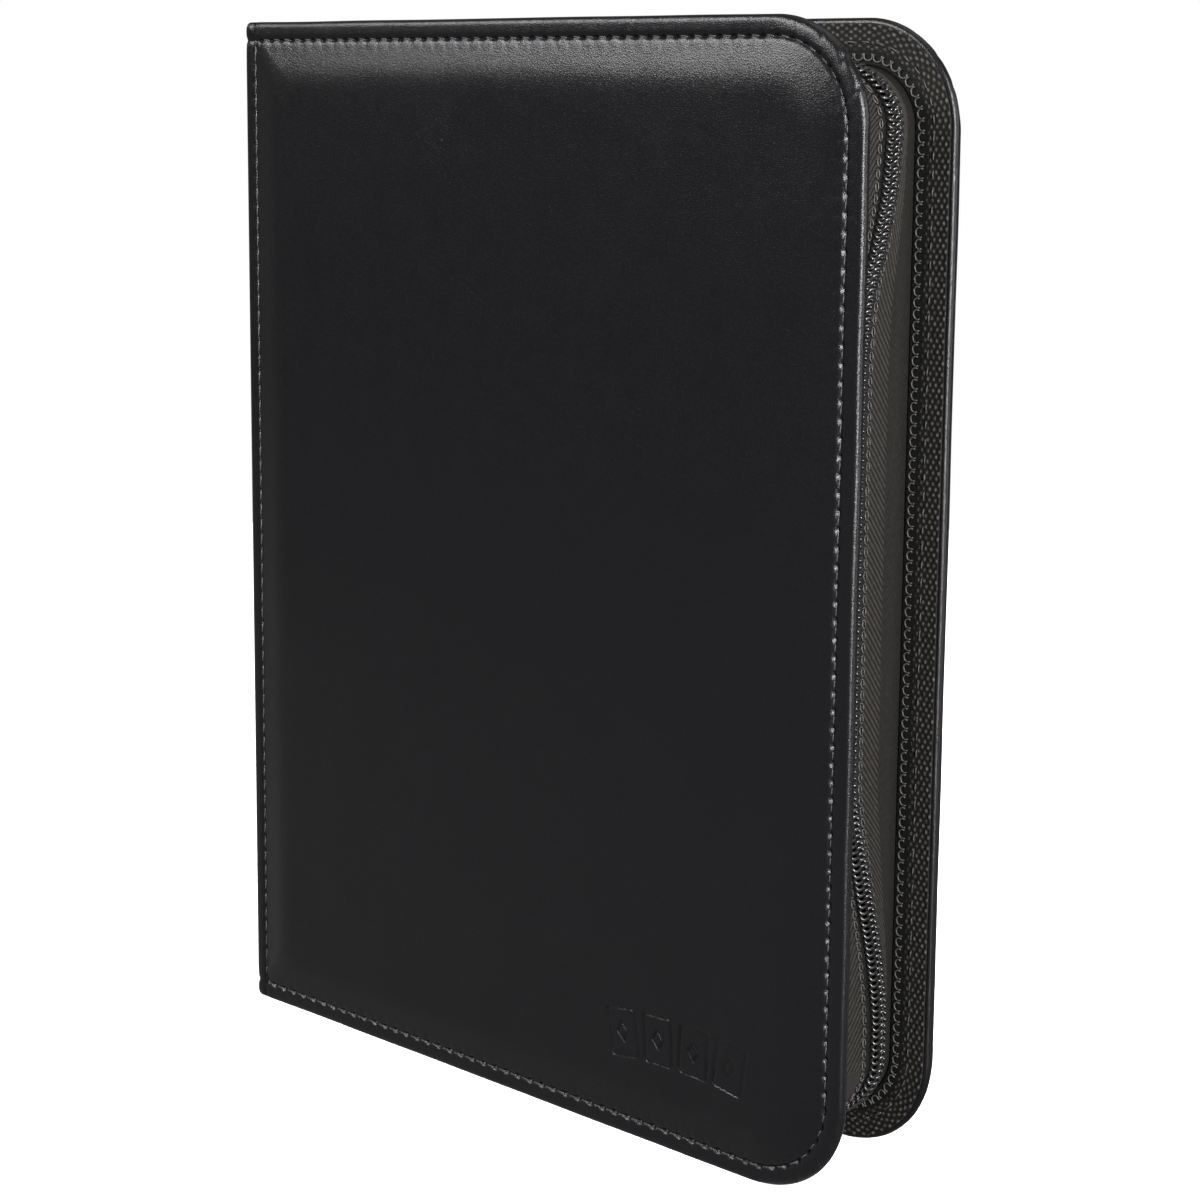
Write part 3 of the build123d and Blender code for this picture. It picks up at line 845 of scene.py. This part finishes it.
def zip_tape(side, name, x_start):
    """Woven tape that stands up from the cover, with a corded edge beside the chain."""
    x, z, nx, nz = free_edge_path(x_start, 0.32)
    s = along(x, z)
    share = along(*free_edge_path(LEFT, 0.32)[:2])
    start = (x_start - LEFT) / share[-1]
    share = (start + s / share[-1])[:, None]
    face, bow, cord = tape_face()
    ribs = tape_relief(s[:, None], face)
    outer_inset = ZIP_INSET + 0.25 - 0.3 * ribs - bow - cord
    back = np.linspace(INNER + 0.2, TAPE_NEAR, 8)[None, :]
    back_inset = ZIP_INSET + TAPE_THICK - 0.5 * np.sin(math.pi * (back - TAPE_NEAR) / (INNER - TAPE_NEAR))
    out = np.concatenate([np.tile(face, (len(s), 1)), np.tile(back, (len(s), 1))], axis=1)
    inset = np.concatenate([outer_inset, np.tile(back_inset, (len(s), 1))], axis=1)
    points = tape_points(side, x[:, None], z[:, None], nx[:, None], nz[:, None], share, out, inset)
    # The ribs, as relief, paint highlight on the rib tops and shade in the grooves.
    relief = np.concatenate([ribs, np.full((len(s), back.shape[1]), TAPE_BACK_RELIEF)], axis=1)
    return new_object(name, points, tube_faces(len(s), out.shape[1]), TAPE, relief)


def chain_line(x_start, step, out, inset, side):
    """A line along the zip at one distance from the middle plane, with the outward normals."""
    x, z, nx, nz = free_edge_path(x_start, step)
    share = along(*free_edge_path(LEFT, step)[:2])
    share = (x_start - LEFT) / share[-1] + along(x, z) / share[-1]
    line = tape_points(side, x, z, nx, nz, share, np.full(len(x), out), np.full(len(x), inset))
    normals = np.stack([nx, 0 * nx, nz], axis=-1)
    return line, normals


def tape_loops(side, name, x_start):
    """Chain-stitch loops beside the coil."""
    line, normals = chain_line(x_start, 0.5, TAPE_NEAR + 4.3, ZIP_INSET - 0.75, side)
    s = np.concatenate([[0], np.cumsum(np.linalg.norm(np.diff(line, axis=0), axis=1))])
    angle = np.linspace(0, 2 * math.pi, 12, endpoint=False)
    count = int(s[-1] / TAPE_LOOP_PITCH)
    parts = []
    for k in range(count):
        at = (k + 0.5) * s[-1] / count
        centre = np.array([np.interp(at, s, line[:, i]) for i in range(3)])
        ahead = np.array([np.interp(at + 0.6, s, line[:, i]) for i in range(3)]) - centre
        ahead /= max(np.linalg.norm(ahead), 1e-6)
        up = np.array([np.interp(at, s, normals[:, i]) for i in range(3)])
        up /= np.linalg.norm(up)
        across = np.cross(ahead, up)
        ring = centre + np.outer(1.35 * np.cos(angle), ahead) + np.outer(0.75 * np.sin(angle), across)
        ring = ring + np.outer(0.12 * np.cos(angle), up)
        parts.append(tube_parts(ring, 0.23, sides=5, closed=True))
    points, faces = join_points(parts)
    return new_object(name, points, faces, THREAD, np.full(len(points), LOOP_RELIEF))


def zip_coil(side, name, x_start):
    """One half of the nylon coil: flattened turns whose heads mesh with the other half's."""
    line, normals = chain_line(x_start, 0.5, COIL_OUT, ZIP_INSET - COIL_DOWN, side)
    s = np.concatenate([[0], np.cumsum(np.linalg.norm(np.diff(line, axis=0), axis=1))])
    turns = int(s[-1] / COIL_PITCH)
    u = np.arange(turns * COIL_SAMPLES + 1) / COIL_SAMPLES
    at = u * COIL_PITCH
    lean, reach, height = coil_wave(u, side)
    centre = np.stack([np.interp(at, s, line[:, k]) for k in range(3)], axis=-1)
    up = np.stack([np.interp(at, s, normals[:, k]) for k in range(3)], axis=-1)
    up /= np.linalg.norm(up, axis=1, keepdims=True)
    forward = np.gradient(centre, axis=0)
    forward /= np.linalg.norm(forward, axis=1, keepdims=True)
    across = side * np.array([[0.0, 1.0, 0.0]])
    wire = centre + across * (reach * COIL_REACH)[:, None] + up * (height * COIL_RISE)[:, None]
    wire += forward * (COIL_LEAN * lean)[:, None]
    return new_object(name, *tube_parts(wire, 0.45, sides=8), COIL)


# ---------------------------------------------------------------- folds and spine
def fold_path(side, depth, steps=14):
    """Points (x, y) round a fold at one depth below the leather's outside, from cover to spine."""
    angle = np.linspace(0, math.pi / 2, steps)
    radius = FOLD_R - depth
    centre_x, centre_out = LEFT + FOLD_R, RIM_OUT - FOLD_R
    flat_x = np.linspace(LEFT + STITCH_INSET, centre_x, 5, endpoint=False)
    x = [flat_x, centre_x - radius * np.sin(angle), np.full(4, LEFT + depth)]
    out = [np.full(5, RIM_OUT - depth), centre_out + radius * np.cos(angle),
           np.linspace(centre_out, SPINE_PANEL_HALF, 5)[1:]]
    return np.concatenate(x), side * np.concatenate(out)


def end_section():
    """Section of a strip's outer face near one end: (inset from the end, depth), rolled and grooved."""
    return np.array([
        (0.0, 1.9), (0.15, 1.1), (0.8, 0.45), (1.9, 0.05), (3.1, -0.06), (4.2, 0.0), (5.0, 0.12), (5.6, 0.34),
        (6.1, 0.46), (6.6, 0.34), (7.2, 0.12), (8.4, 0.02), (10.5, -0.04), (15, -0.06),
    ])


def fold_strip(side, name):
    """Leather that bends between a cover and the spine."""
    ends = end_section()
    middle = np.arange(16, HEIGHT - 15.5, 0.6)
    inset = np.concatenate([ends[:, 0], middle, HEIGHT - ends[::-1, 0]])
    depth = np.concatenate([ends[:, 1], np.full(len(middle), -0.06), ends[::-1, 1]])
    back = np.linspace(HEIGHT - 0.6, 0.6, 40)
    hole = holes(stitch_ring(PANEL_BOX, PANEL_RADII), np.full(len(inset), PANEL_BOX[0]), inset)
    spine_x = np.full(len(inset), side * SPINE_PANEL_HALF)
    spine_hole = holes(stitch_ring(SPINE_BOX, SPINE_RADII), spine_x, inset)
    rows = []
    last = len(fold_path(side, 0)[0]) - 1
    for at in range(last + 1):
        bottom = []
        to_cover = math.exp(-(at / 1.3) ** 2)
        to_spine = math.exp(-((last - at) / 1.1) ** 2)
        dip = to_cover * (0.48 + 0.5 * hole) + to_spine * (0.48 + 0.5 * spine_hole)
        for z, d, sunk in zip(inset, depth, dip):
            near_end = 0.09 * math.sin(at * 1.3) * math.exp(-min(z, HEIGHT - z) / 4)
            x, y = (values[at] for values in fold_path(side, min(d + near_end + sunk, 1.95)))
            bottom.append((x, y, z))
        x, y = (values[at] for values in fold_path(side, FOLD_LEATHER))
        rows.append(bottom + [(x, y, z) for z in back])
    points = np.array(rows)
    return new_object(name, points, tube_faces(len(rows), points.shape[1]), LEATHER)


def blend_fold(piece, side):
    """Bakes the piece's transform into its mesh."""
    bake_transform(piece)


def fold_lining(side, name):
    """Lining that carries on from the cover's inside face to the spine's."""
    half = 13.0
    x = np.concatenate([np.linspace(LEFT + 20, SPINE_INNER_X + 2, 12, endpoint=False),
                        SPINE_INNER_X + 2 - 1.6 * np.sin(np.linspace(0, math.pi / 2, 7)),
                        np.full(8, SPINE_INNER_X + 0.4)])
    out = np.concatenate([np.full(12, INNER - 0.45),
                          INNER - 2 + 1.55 * np.cos(np.linspace(0, math.pi / 2, 7)),
                          np.linspace(INNER - 2, half, 9)[1:]])
    z = np.linspace(6.5, HEIGHT - 6.5, 150)
    ripple = 0.25 * waves(x[None, :], z[:, None], 71 + side, 16)
    outer = place(x[None, :] + 0.3 * ripple, z[:, None], out[None, :] - 0.3 * np.abs(ripple), side)
    inner = outer[:, ::-1].copy()
    inner[..., 0] -= np.where(x[::-1] < SPINE_INNER_X + 2, 0.35, 0.0)[None, :]
    inner[..., 1] += side * np.where(out[::-1] > INNER - 2, 0.4, 0.0)[None, :]
    points = np.concatenate([outer, inner], axis=1)
    return new_object(name, points, tube_faces(len(z), points.shape[1]), LINING)


def spine_row(y, z, height):
    """Spine frame (across, up, height above the rim) to the row frame."""
    y, z, height = np.broadcast_arrays(y, z, height)
    return np.stack([LEFT - height, y, z], axis=-1)


SPINE_RISE = [
    (0, -0.44), (0.3, -0.34), (0.7, -0.12), (1.2, 0.04), (2.2, 0.22), (4.0, 0.5), (6.5, 0.8), (9.5, 1.0),
    (13, 1.12), (20, 1.15),
]


def spine_panel():
    return padded_panel("spine_panel", SPINE_BOX, SPINE_RADII, SPINE_RISE, spine_row, False, 41,
                        undulation=0.12)


def spine_hem(top):
    """Rolled hem at the top or bottom of the spine."""
    y = np.linspace(-SPINE_PANEL_HALF, SPINE_PANEL_HALF, 80)
    inset, depth = rounded_loop(HEM_SECTION).T
    level = HEIGHT - STITCH_INSET if top else STITCH_INSET
    hole = holes(stitch_ring(SPINE_BOX, SPINE_RADII), y, np.full(len(y), level))
    relief = hem_relief(hole[:, None], y[:, None], inset[None, :], 0.25, 61 + top)
    relief *= np.clip((2.6 - depth) / 1.4, 0, 1)[None, :]
    z = HEIGHT - inset if top else inset
    points = spine_row(y[:, None], z[None, :], -depth[None, :] - relief)
    name = "spine_hem_top" if top else "spine_hem_bottom"
    return new_object(name, points, tube_faces(len(y), points.shape[1]), LEATHER)


def spine_stitches():
    y, z = stitch_ring(SPINE_BOX, SPINE_RADII)
    line = spine_row(y, z, np.full(len(y), -STITCH_DEPTH))
    up = np.tile([-1.0, 0.0, 0.0], (len(y), 1))
    points, faces = stitch_parts(line, up, *PANEL_STITCH, slant=0.12)
    return new_object("spine_stitches", points, faces, THREAD, np.full(len(points), STITCH_RELIEF))


# ---------------------------------------------------------------- linings
def flat_cloth(name, a, b, to_row, seed, swell=0.25):
    """A stretched sheet of lining over a grid of (across, up) places, a little loose."""
    ripple = swell * waves(a, b, seed, 60) + 0.3 * swell * waves(a, b, seed + 1, 14)
    border = np.minimum(np.minimum(a - a.min(), a.max() - a), np.minimum(b - b.min(), b.max() - b))
    height = 0.35 + (ripple + swell) * np.clip(border / 12, 0, 1) + 0.25 * np.exp(-((border - 2) / 1.2) ** 2)
    top = to_row(a, b, height)
    base = to_row(a, b, np.full(a.shape, -0.05))
    return new_object(name, *sheet_solid(top, base), LINING)


def cover_lining(side, name):
    left, right = LEFT + 9, RIGHT - HEM_END + 0.4
    low, high = HEM_END - 0.4, HEIGHT - HEM_END + 0.4
    r = CORNER_R - HEM_END + 0.4
    u = np.linspace(0, 1, 150)
    z = np.concatenate([low + r * (1 - np.cos(np.linspace(0, math.pi / 2, 12, endpoint=False))),
                        np.linspace(low + r, high - r, 170),
                        high - r + r * np.sin(np.linspace(0, math.pi / 2, 12)[1:])])
    beyond = np.clip(np.maximum(low + r - z, z - (high - r)), 0, r)
    end = right - r + np.sqrt(r * r - beyond * beyond)
    a = left + (end[:, None] - left) * u[None, :]
    b = np.tile(z[:, None], (1, len(u)))

    def to_row(x, zz, height):
        return place(x, zz, INNER + 0.25 - height, side)

    return flat_cloth(name, a, b, to_row, 81 + side)


def spine_lining():
    a, b = np.meshgrid(np.linspace(-15.0, 15.0, 24), np.linspace(HEM_END - 3, HEIGHT - HEM_END + 3, 190))

    def to_row(y, z, height):
        y, z, height = np.broadcast_arrays(y, z, height)
        return np.stack([SPINE_INNER_X - 0.25 + 0.6 * height, y, z], axis=-1)

    return flat_cloth("spine_lining_cloth", a, b, to_row, 91, swell=0.15)


# ---------------------------------------------------------------- pages
def page_piece(index):
    """Backing sheet with three columns and three rows of welded pockets on both sides."""
    node = f"page_{index + 1:02d}"
    low, high = box_mm(node)
    middle = (low[1] + high[1]) / 2
    x = np.linspace(low[0], high[0], 118)
    z = np.linspace(low[2], high[2], 130)
    a, b = np.meshgrid(x, z)
    cell_x = (a - low[0] - PAGE_MARGIN) / (high[0] - PAGE_EDGE - low[0] - PAGE_MARGIN) * PAGE_COLUMNS
    cell_z = (b - low[2] - PAGE_EDGE) / (high[2] - low[2] - 2 * PAGE_EDGE) * PAGE_ROWS
    inside = (cell_x > 0) & (cell_x < PAGE_COLUMNS) & (cell_z > 0) & (cell_z < PAGE_ROWS)
    swell = np.abs(np.sin(math.pi * cell_x)) ** 0.35 * np.abs(np.sin(math.pi * cell_z)) ** 0.35
    puff = np.where(inside, 0.34 * swell, 0.0) + 0.03 * waves(a, b, 200 + index, 30)
    bow = 0.16 * waves(a, b, 300 + index, 170) * np.clip((a - low[0]) / 40, 0, 1)
    half = 0.15
    film = half + 0.06 + puff
    gap = half + 0.02
    parts = []
    for lift, start in ((half, -half), (film, gap), (-gap, -film)):
        front = np.stack([a, middle + bow + lift, b], axis=-1)
        back = np.stack([a, middle + bow + start, b], axis=-1)
        parts.append((front, back))
    return node, parts


# ---------------------------------------------------------------- metal pieces
def outline_ring(width, depth, radius, count=48):
    """A rounded rectangle about the origin, as (x, y) points in order of angle."""
    x, y = rounded_ring(-width / 2, width / 2, -depth / 2, depth / 2, (radius,) * 4,
                        [np.linspace(0, 1, count // 8, endpoint=False)] * 4, count // 8)
    return x, y


def slab_parts(x, y, low, high, bevel):
    """Plate with an outline of (x, y) points and rounded edges, between two heights."""
    cx, cy = (x.max() + x.min()) / 2, (y.max() + y.min()) / 2
    rings = []
    profile = [(bevel, low), (bevel * 0.3, low + bevel * 0.3), (0, low + bevel), (0, high - bevel),
               (bevel * 0.3, high - bevel * 0.3), (bevel, high)]
    half_x, half_y = (x.max() - x.min()) / 2, (y.max() - y.min()) / 2
    for inset, z in profile:
        rings.append(np.stack([cx + (x - cx) * (1 - inset / half_x), cy + (y - cy) * (1 - inset / half_y),
                               np.full(len(x), z)], axis=-1))
    points = np.array(rings)
    return points.reshape(-1, 3), tube_faces(len(profile), len(x))


def slotted_parts(outer, inner, low, high, bevel):
    """Plate with a slot: a bevelled section carried round between two loops of the same length."""
    ox, oy = outer
    ix, iy = inner
    rings = []
    for share, z in ((0, low + bevel), (0.5 * bevel, low + bevel * 0.2), (bevel, low), (1 - bevel, low),
                     (1 - 0.5 * bevel, low + bevel * 0.2), (1, low + bevel), (1, high - bevel),
                     (1 - 0.5 * bevel, high - bevel * 0.2), (1 - bevel, high), (bevel, high),
                     (0.5 * bevel, high - bevel * 0.2), (0, high - bevel)):
        rings.append(np.stack([ox + (ix - ox) * share, oy + (iy - oy) * share, np.full(len(ox), z)], axis=-1))
    points = np.array(rings).transpose(1, 0, 2)
    rows, columns = points.shape[:2]
    return points.reshape(-1, 3), grid_faces(rows, columns, wrap_rows=True, wrap_columns=True)


def slider():
    """Zip slider: two bevelled plates, a post between the chains, side flanges and a bail."""
    middle = (slider_low + slider_high) / 2
    length = slider_high[0] - slider_low[0]
    width = slider_high[1] - slider_low[1]
    plate_low = CHAIN_TOP + 0.4
    plate_high = plate_low + 2.0
    angle = np.linspace(0, 2 * math.pi, 64, endpoint=False)
    c, s = np.cos(angle), np.sin(angle)
    x = middle[0] + length / 2 * np.sign(c) * np.abs(c) ** 0.55
    taper = 1 - 0.18 * (x - middle[0]) / length
    y = width / 2 * 0.92 * np.sign(s) * np.abs(s) ** 0.5 * taper
    upper = slab_parts(x, y, plate_low, plate_high, 0.7)
    lower_high = TAPE_IN - 0.4
    lower = slab_parts(x, y, lower_high - 2.0, lower_high, 0.6)
    px, py = outline_ring(4.2, 0.8, 0.35)
    post = slab_parts(middle[0] - 2.9 + px, py, lower_high - 0.5, plate_low + 0.5, 0.1)
    parts = [upper, lower, post]
    for side in (-1, 1):
        fx, fy = outline_ring(length - 4, 1.3, 0.5)
        fy = side * (width / 2 - 0.85) + fy
        parts.append(slab_parts(middle[0] + fx, fy, TAPE_OUT + 0.35, plate_low + 0.5, 0.25))
    u = np.linspace(0, math.pi, 22)
    rise = slider_high[2] - plate_high - 0.5
    bail = np.stack([middle[0] - (length / 2 - 1.7) * np.cos(u), 0 * u,
                     plate_high - 0.6 + (rise + 0.2) * np.sin(u) ** 0.45], axis=-1)
    parts.append(tube_parts(bail, 0.75, sides=10, flat=1.3))
    return new_object("zip_slider", *join_points(parts), METAL)


def pull_tab():
    """Flat pull with a slot, on a wire loop that turns in the slider's bail."""
    low, high = pull_low, pull_high
    axis_x = (slider_low[0] + slider_high[0]) / 2
    axis_z = (low[2] + high[2]) / 2
    start, end = axis_x + 6.0, high[0]
    ox, oy = outline_ring(end - start, high[1] - low[1], 2.6)
    ix, iy = outline_ring((end - start) * 0.5, 3.0, 1.4)
    plate = slotted_parts((ox, oy), (ix + 1.5, iy), axis_z - 0.75, axis_z + 0.75, 0.25)
    plate_points = plate[0] + np.array([(start + end) / 2, 0, 0])
    loop_x, loop_y = outline_ring(8.6, 4.6, 1.6)
    loop = np.stack([axis_x + 3.9 + loop_x, loop_y, np.full(len(loop_x), axis_z)], axis=-1)
    wire = tube_parts(loop, 0.72, sides=10, closed=True)
    neck_x, neck_y = outline_ring(3.2, 4.6, 1.0)
    neck = slab_parts(start + 1.6 + neck_x, neck_y, axis_z - 1.0, axis_z + 1.0, 0.4)
    return new_object("pull_tab", *join_points([(plate_points, plate[1]), wire, neck]), METAL)


def clip_parts(low, high):
    """A small bent metal clip that fills a box."""
    middle = (low + high) / 2
    size = high - low
    x, y = outline_ring(size[0], size[1], 0.5)
    return slab_parts(middle[0] + x, middle[1] + y, low[2], high[2], 0.3)


def stops(node, halves):
    low, high = box_mm(node)
    parts = []
    for near, far in halves:
        parts.append(clip_parts(np.array([low[0], near, low[2]]), np.array([high[0], far, high[2]])))
    return new_object(node + "_clip", *join_points(parts), METAL)


def end_tab(top):
    """Leatherette tab over the end of the zip, rounded and stitched."""
    node = "zip_end_tab_top" if top else "zip_end_tab_bottom"
    low, high = box_mm(node)
    middle = (low + high) / 2
    x, y = outline_ring(high[0] - low[0] + 0.6, high[1] - low[1], 2.5, count=96)
    plate = slab_parts(middle[0] + x, middle[1] + y, low[2], high[2], 0.55)
    piece = new_object(node + "_leather", *plate, LEATHER)
    outer = 1 if top else -1
    sx, sy = outline_ring(high[0] - low[0] - 2.4, high[1] - low[1] - 3.2, 1.8, count=96)
    sx, sy = np.append(sx, sx[0]), np.append(sy, sy[0])
    height = high[2] if top else low[2]
    line = np.stack([middle[0] + sx, middle[1] + sy, np.full(len(sx), height - 0.12 * outer)], axis=-1)
    up = np.tile([0.0, 0.0, float(outer)], (len(line), 1))
    thread = new_object(node + "_stitches", *stitch_parts(line, up, 2.8, 2.2, 0.22, 0.2), THREAD)
    return piece, thread


# ---------------------------------------------------------------- ends of the chain
def chain_end(side, top, name, coil):
    """Tape or coil between the end tab and the place where the cover carries the chain."""
    z_edge = HEIGHT if top else 0.0
    inward = -1 if top else 1
    start = end_tab_high[0] - 1.5
    end = TOP_CHAIN_X if top else BOTTOM_CHAIN_X
    x = np.linspace(start, end + 0.3, max(8, int((end - start) / 0.45)))
    if coil:
        u = np.arange(int((end - start) / COIL_PITCH) * COIL_SAMPLES + 1) / COIL_SAMPLES
        at = start + u * COIL_PITCH
        lean, reach, height = coil_wave(u, side)
        wire = np.stack([at + COIL_LEAN * lean, side * (COIL_OUT + COIL_REACH * reach),
                         z_edge + inward * (ZIP_INSET - COIL_DOWN - COIL_RISE * height)], axis=-1)
        return new_object(name, *tube_parts(wire, 0.42, sides=6), COIL)
    face, bow, cord = tape_face()
    taper = np.clip((x - start) / (end - start), 0, 1)[:, None]
    reach = TAPE_NEAR + (face - TAPE_NEAR) * (0.42 + 0.58 * taper**0.7)
    ribs = tape_relief(x[:, None], face)
    inset = ZIP_INSET + 0.25 - 0.3 * ribs - bow - cord
    back = reach[:, ::-6]
    back_inset = np.tile(ZIP_INSET + TAPE_THICK - bow[:, ::-6], (len(x), 1))
    out = np.concatenate([reach, back], axis=1)
    inset = np.concatenate([inset, back_inset], axis=1)
    points = np.stack([np.broadcast_to(x[:, None], out.shape), side * out, z_edge + inward * inset], axis=-1)
    # The ribs, as relief, paint highlight on the rib tops and shade in the grooves.
    relief = np.concatenate([ribs, np.full(back.shape, TAPE_BACK_RELIEF)], axis=1)
    return new_object(name, points, tube_faces(len(x), out.shape[1]), TAPE, relief)


def blend_end(piece, side, top):
    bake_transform(piece)


# ---------------------------------------------------------------- assembly

def build_cover(side):
    body, prefix = COVERS[side], SIDES[side]
    panel = cover_panel(side, prefix + "_panel")
    hem = cover_hem(side, prefix + "_hem", LEFT + STITCH_INSET)
    stitches = cover_stitches(side, prefix + "_stitches")
    webbing = edge_webbing(side, prefix + "_webbing")
    loops = ribbon_loops(side, prefix + "_webbing_loops")
    tape = zip_tape(side, prefix + "_tape", BOTTOM_CHAIN_X)
    tape_thread = tape_loops(side, prefix + "_tape_loops", TOP_CHAIN_X)
    coil = zip_coil(side, prefix + "_coil", TOP_CHAIN_X)
    lining = cover_lining(side, prefix + "_lining")
    for piece in (panel, hem, stitches, webbing, loops, tape, tape_thread, coil, lining):
        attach(piece, body)
    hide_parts(prefix + "_cover_skin", prefix + "_cover_foam")
    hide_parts(prefix + "_edge_webbing")
    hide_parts(prefix + "_zip_tape")
    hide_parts(prefix + "_zip_coil")
    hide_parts(prefix + "_cover_lining")


def build_fold(side):
    prefix = SIDES[side]
    strip = fold_strip(side, prefix + "_fold")
    blend_fold(strip, side)
    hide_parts(prefix + "_hinge_strip")
    lining = fold_lining(side, prefix + "_fold_lining")
    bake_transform(lining)
    for top in (True, False):
        end_name = "top" if top else "bottom"
        tape = chain_end(side, top, f"{prefix}_tape_end_{end_name}", False)
        coil = chain_end(side, top, f"{prefix}_coil_end_{end_name}", True)
        blend_end(tape, side, top)
        blend_end(coil, side, top)


def build_spine():
    panel = spine_panel()
    hems = [spine_hem(True), spine_hem(False)]
    stitches = spine_stitches()
    lining = spine_lining()
    tabs = [piece for top in (True, False) for piece in end_tab(top)]
    for piece in (panel, *hems, stitches, lining, *tabs):
        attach(piece, "spine")
    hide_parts("spine_skin", "spine_foam")
    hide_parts("spine_lining")
    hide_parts("zip_end_tab_top")
    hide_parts("zip_end_tab_bottom")


def build_zip_metal():
    body = slider()
    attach(body, "zip_slider")
    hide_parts("zip_slider_body")
    pull = pull_tab()
    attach(pull, "pull_tab")
    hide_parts("zip_pull_tab")
    top = stops("zip_top_stops", ((-3.1, -0.7), (0.7, 3.1)))
    bottom = stops("zip_bottom_stop", ((-3.1, 3.1),))
    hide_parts("zip_top_stops")
    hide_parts("zip_bottom_stop")
    for piece in (top, bottom):
        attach(piece, "spine")


def build_pages():
    for index in range(PAGE_COUNT):
        node, (backing, near, far) = page_piece(index)
        sheet = new_object(node + "_backing", *sheet_solid(*backing), BACKING)
        pockets = new_object(node + "_pockets", *join_points([sheet_solid(*near), sheet_solid(*far)]), FILM)
        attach(sheet, node)
        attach(pockets, node)
        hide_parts(node)


for cover_side in (-1, 1):
    build_cover(cover_side)
    build_fold(cover_side)
build_spine()
build_zip_metal()
build_pages()
for name, material in (("front_cover_board", BOARD), ("back_cover_board", BOARD), ("spine_board", BOARD),
                       ("page_binding_strip", BACKING)):
    node = frame["nodes"][name]
    node.data.materials.clear()
    node.data.materials.append(material)


# ---------------------------------------------------------------- floor, light and camera
FLOOR_R = 1050.0
AMBIENT = 0.34
LENS = 72.83
SHIFT_Y = -0.12
CAMERA_AT = (515.2, -571.4, 324.1)
YAW, PITCH, ROLL = 41.334, 8.627, 0.493


def aim(obj, target):
    obj.rotation_euler = (Vector(target) - obj.location).to_track_quat("-Z", "Y").to_euler()


def softbox(name, location, target, size, power):
    light = bpy.data.lights.new(name, "AREA")
    light.shape = "RECTANGLE"
    light.size, light.size_y = size
    light.energy = power
    obj = bpy.data.objects.new(name, light)
    bpy.context.scene.collection.objects.link(obj)
    obj.location = location
    aim(obj, target)


def floor():
    """Pale for the camera, and dark for bounced light and reflections, so the black faces stay black."""
    surface = Surface("studio_floor", (0.5, 0.5, 0.5), 0.6, specular=0.1)
    surface.roughness(surface.noise(40, 3), 0.55, 0.7)
    path = surface.tree.nodes.new("ShaderNodeLightPath")
    surface.blend_colors(path.outputs["Is Camera Ray"], (0.15, 0.15, 0.15), (0.95, 0.95, 0.95))
    angle = np.linspace(0, 2 * math.pi, 128, endpoint=False)
    rim = np.stack([FLOOR_R * np.cos(angle), FLOOR_R * np.sin(angle), 0 * angle], axis=-1)
    piece = new_object("studio_floor", rim, [list(range(128))], surface.material)


def world():
    """Pale and even all round. What the camera sees of it directly is white."""
    made = bpy.data.worlds.new("studio")
    made.use_nodes = True
    background = made.node_tree.nodes["Background"]
    background.inputs["Color"].default_value = (1, 1, 1, 1)
    path = made.node_tree.nodes.new("ShaderNodeLightPath")
    level = made.node_tree.nodes.new("ShaderNodeMapRange")
    level.inputs["To Min"].default_value = AMBIENT
    level.inputs["To Max"].default_value = 1.0
    made.node_tree.links.new(path.outputs["Is Camera Ray"], level.inputs["Value"])
    made.node_tree.links.new(level.outputs["Result"], background.inputs["Strength"])
    bpy.context.scene.world = made


def camera():
    made = bpy.data.cameras.new("camera")
    made.lens = LENS
    made.shift_y = SHIFT_Y
    obj = bpy.data.objects.new("camera", made)
    bpy.context.scene.collection.objects.link(obj)
    turn = Matrix.Rotation(math.radians(YAW), 4, "Z") @ Matrix.Rotation(math.radians(90 - PITCH), 4, "X")
    roll = Matrix.Rotation(math.radians(ROLL), 4, "Z")
    obj.matrix_world = Matrix.Translation(Vector(CAMERA_AT) * MM) @ turn @ roll
    bpy.context.scene.camera = obj


floor()
world()
softbox("key", (-1.35, -2.0, 1.75), (0, 0, 0.3), (1.9, 0.7), 235)
softbox("right_strip", (1.25, -0.85, 0.4), (0.1, 0, 0.2), (0.2, 1.5), 200)
softbox("side_fill", (1.5, 0.3, 0.45), (0.1, 0, 0.2), (0.5, 1.2), 30)
softbox("overhead", (0.2, 0.1, 1.8), (0, 0, 0.2), (1.2, 1.0), 12)
camera()
bpy.context.scene.view_settings.view_transform = "Standard"
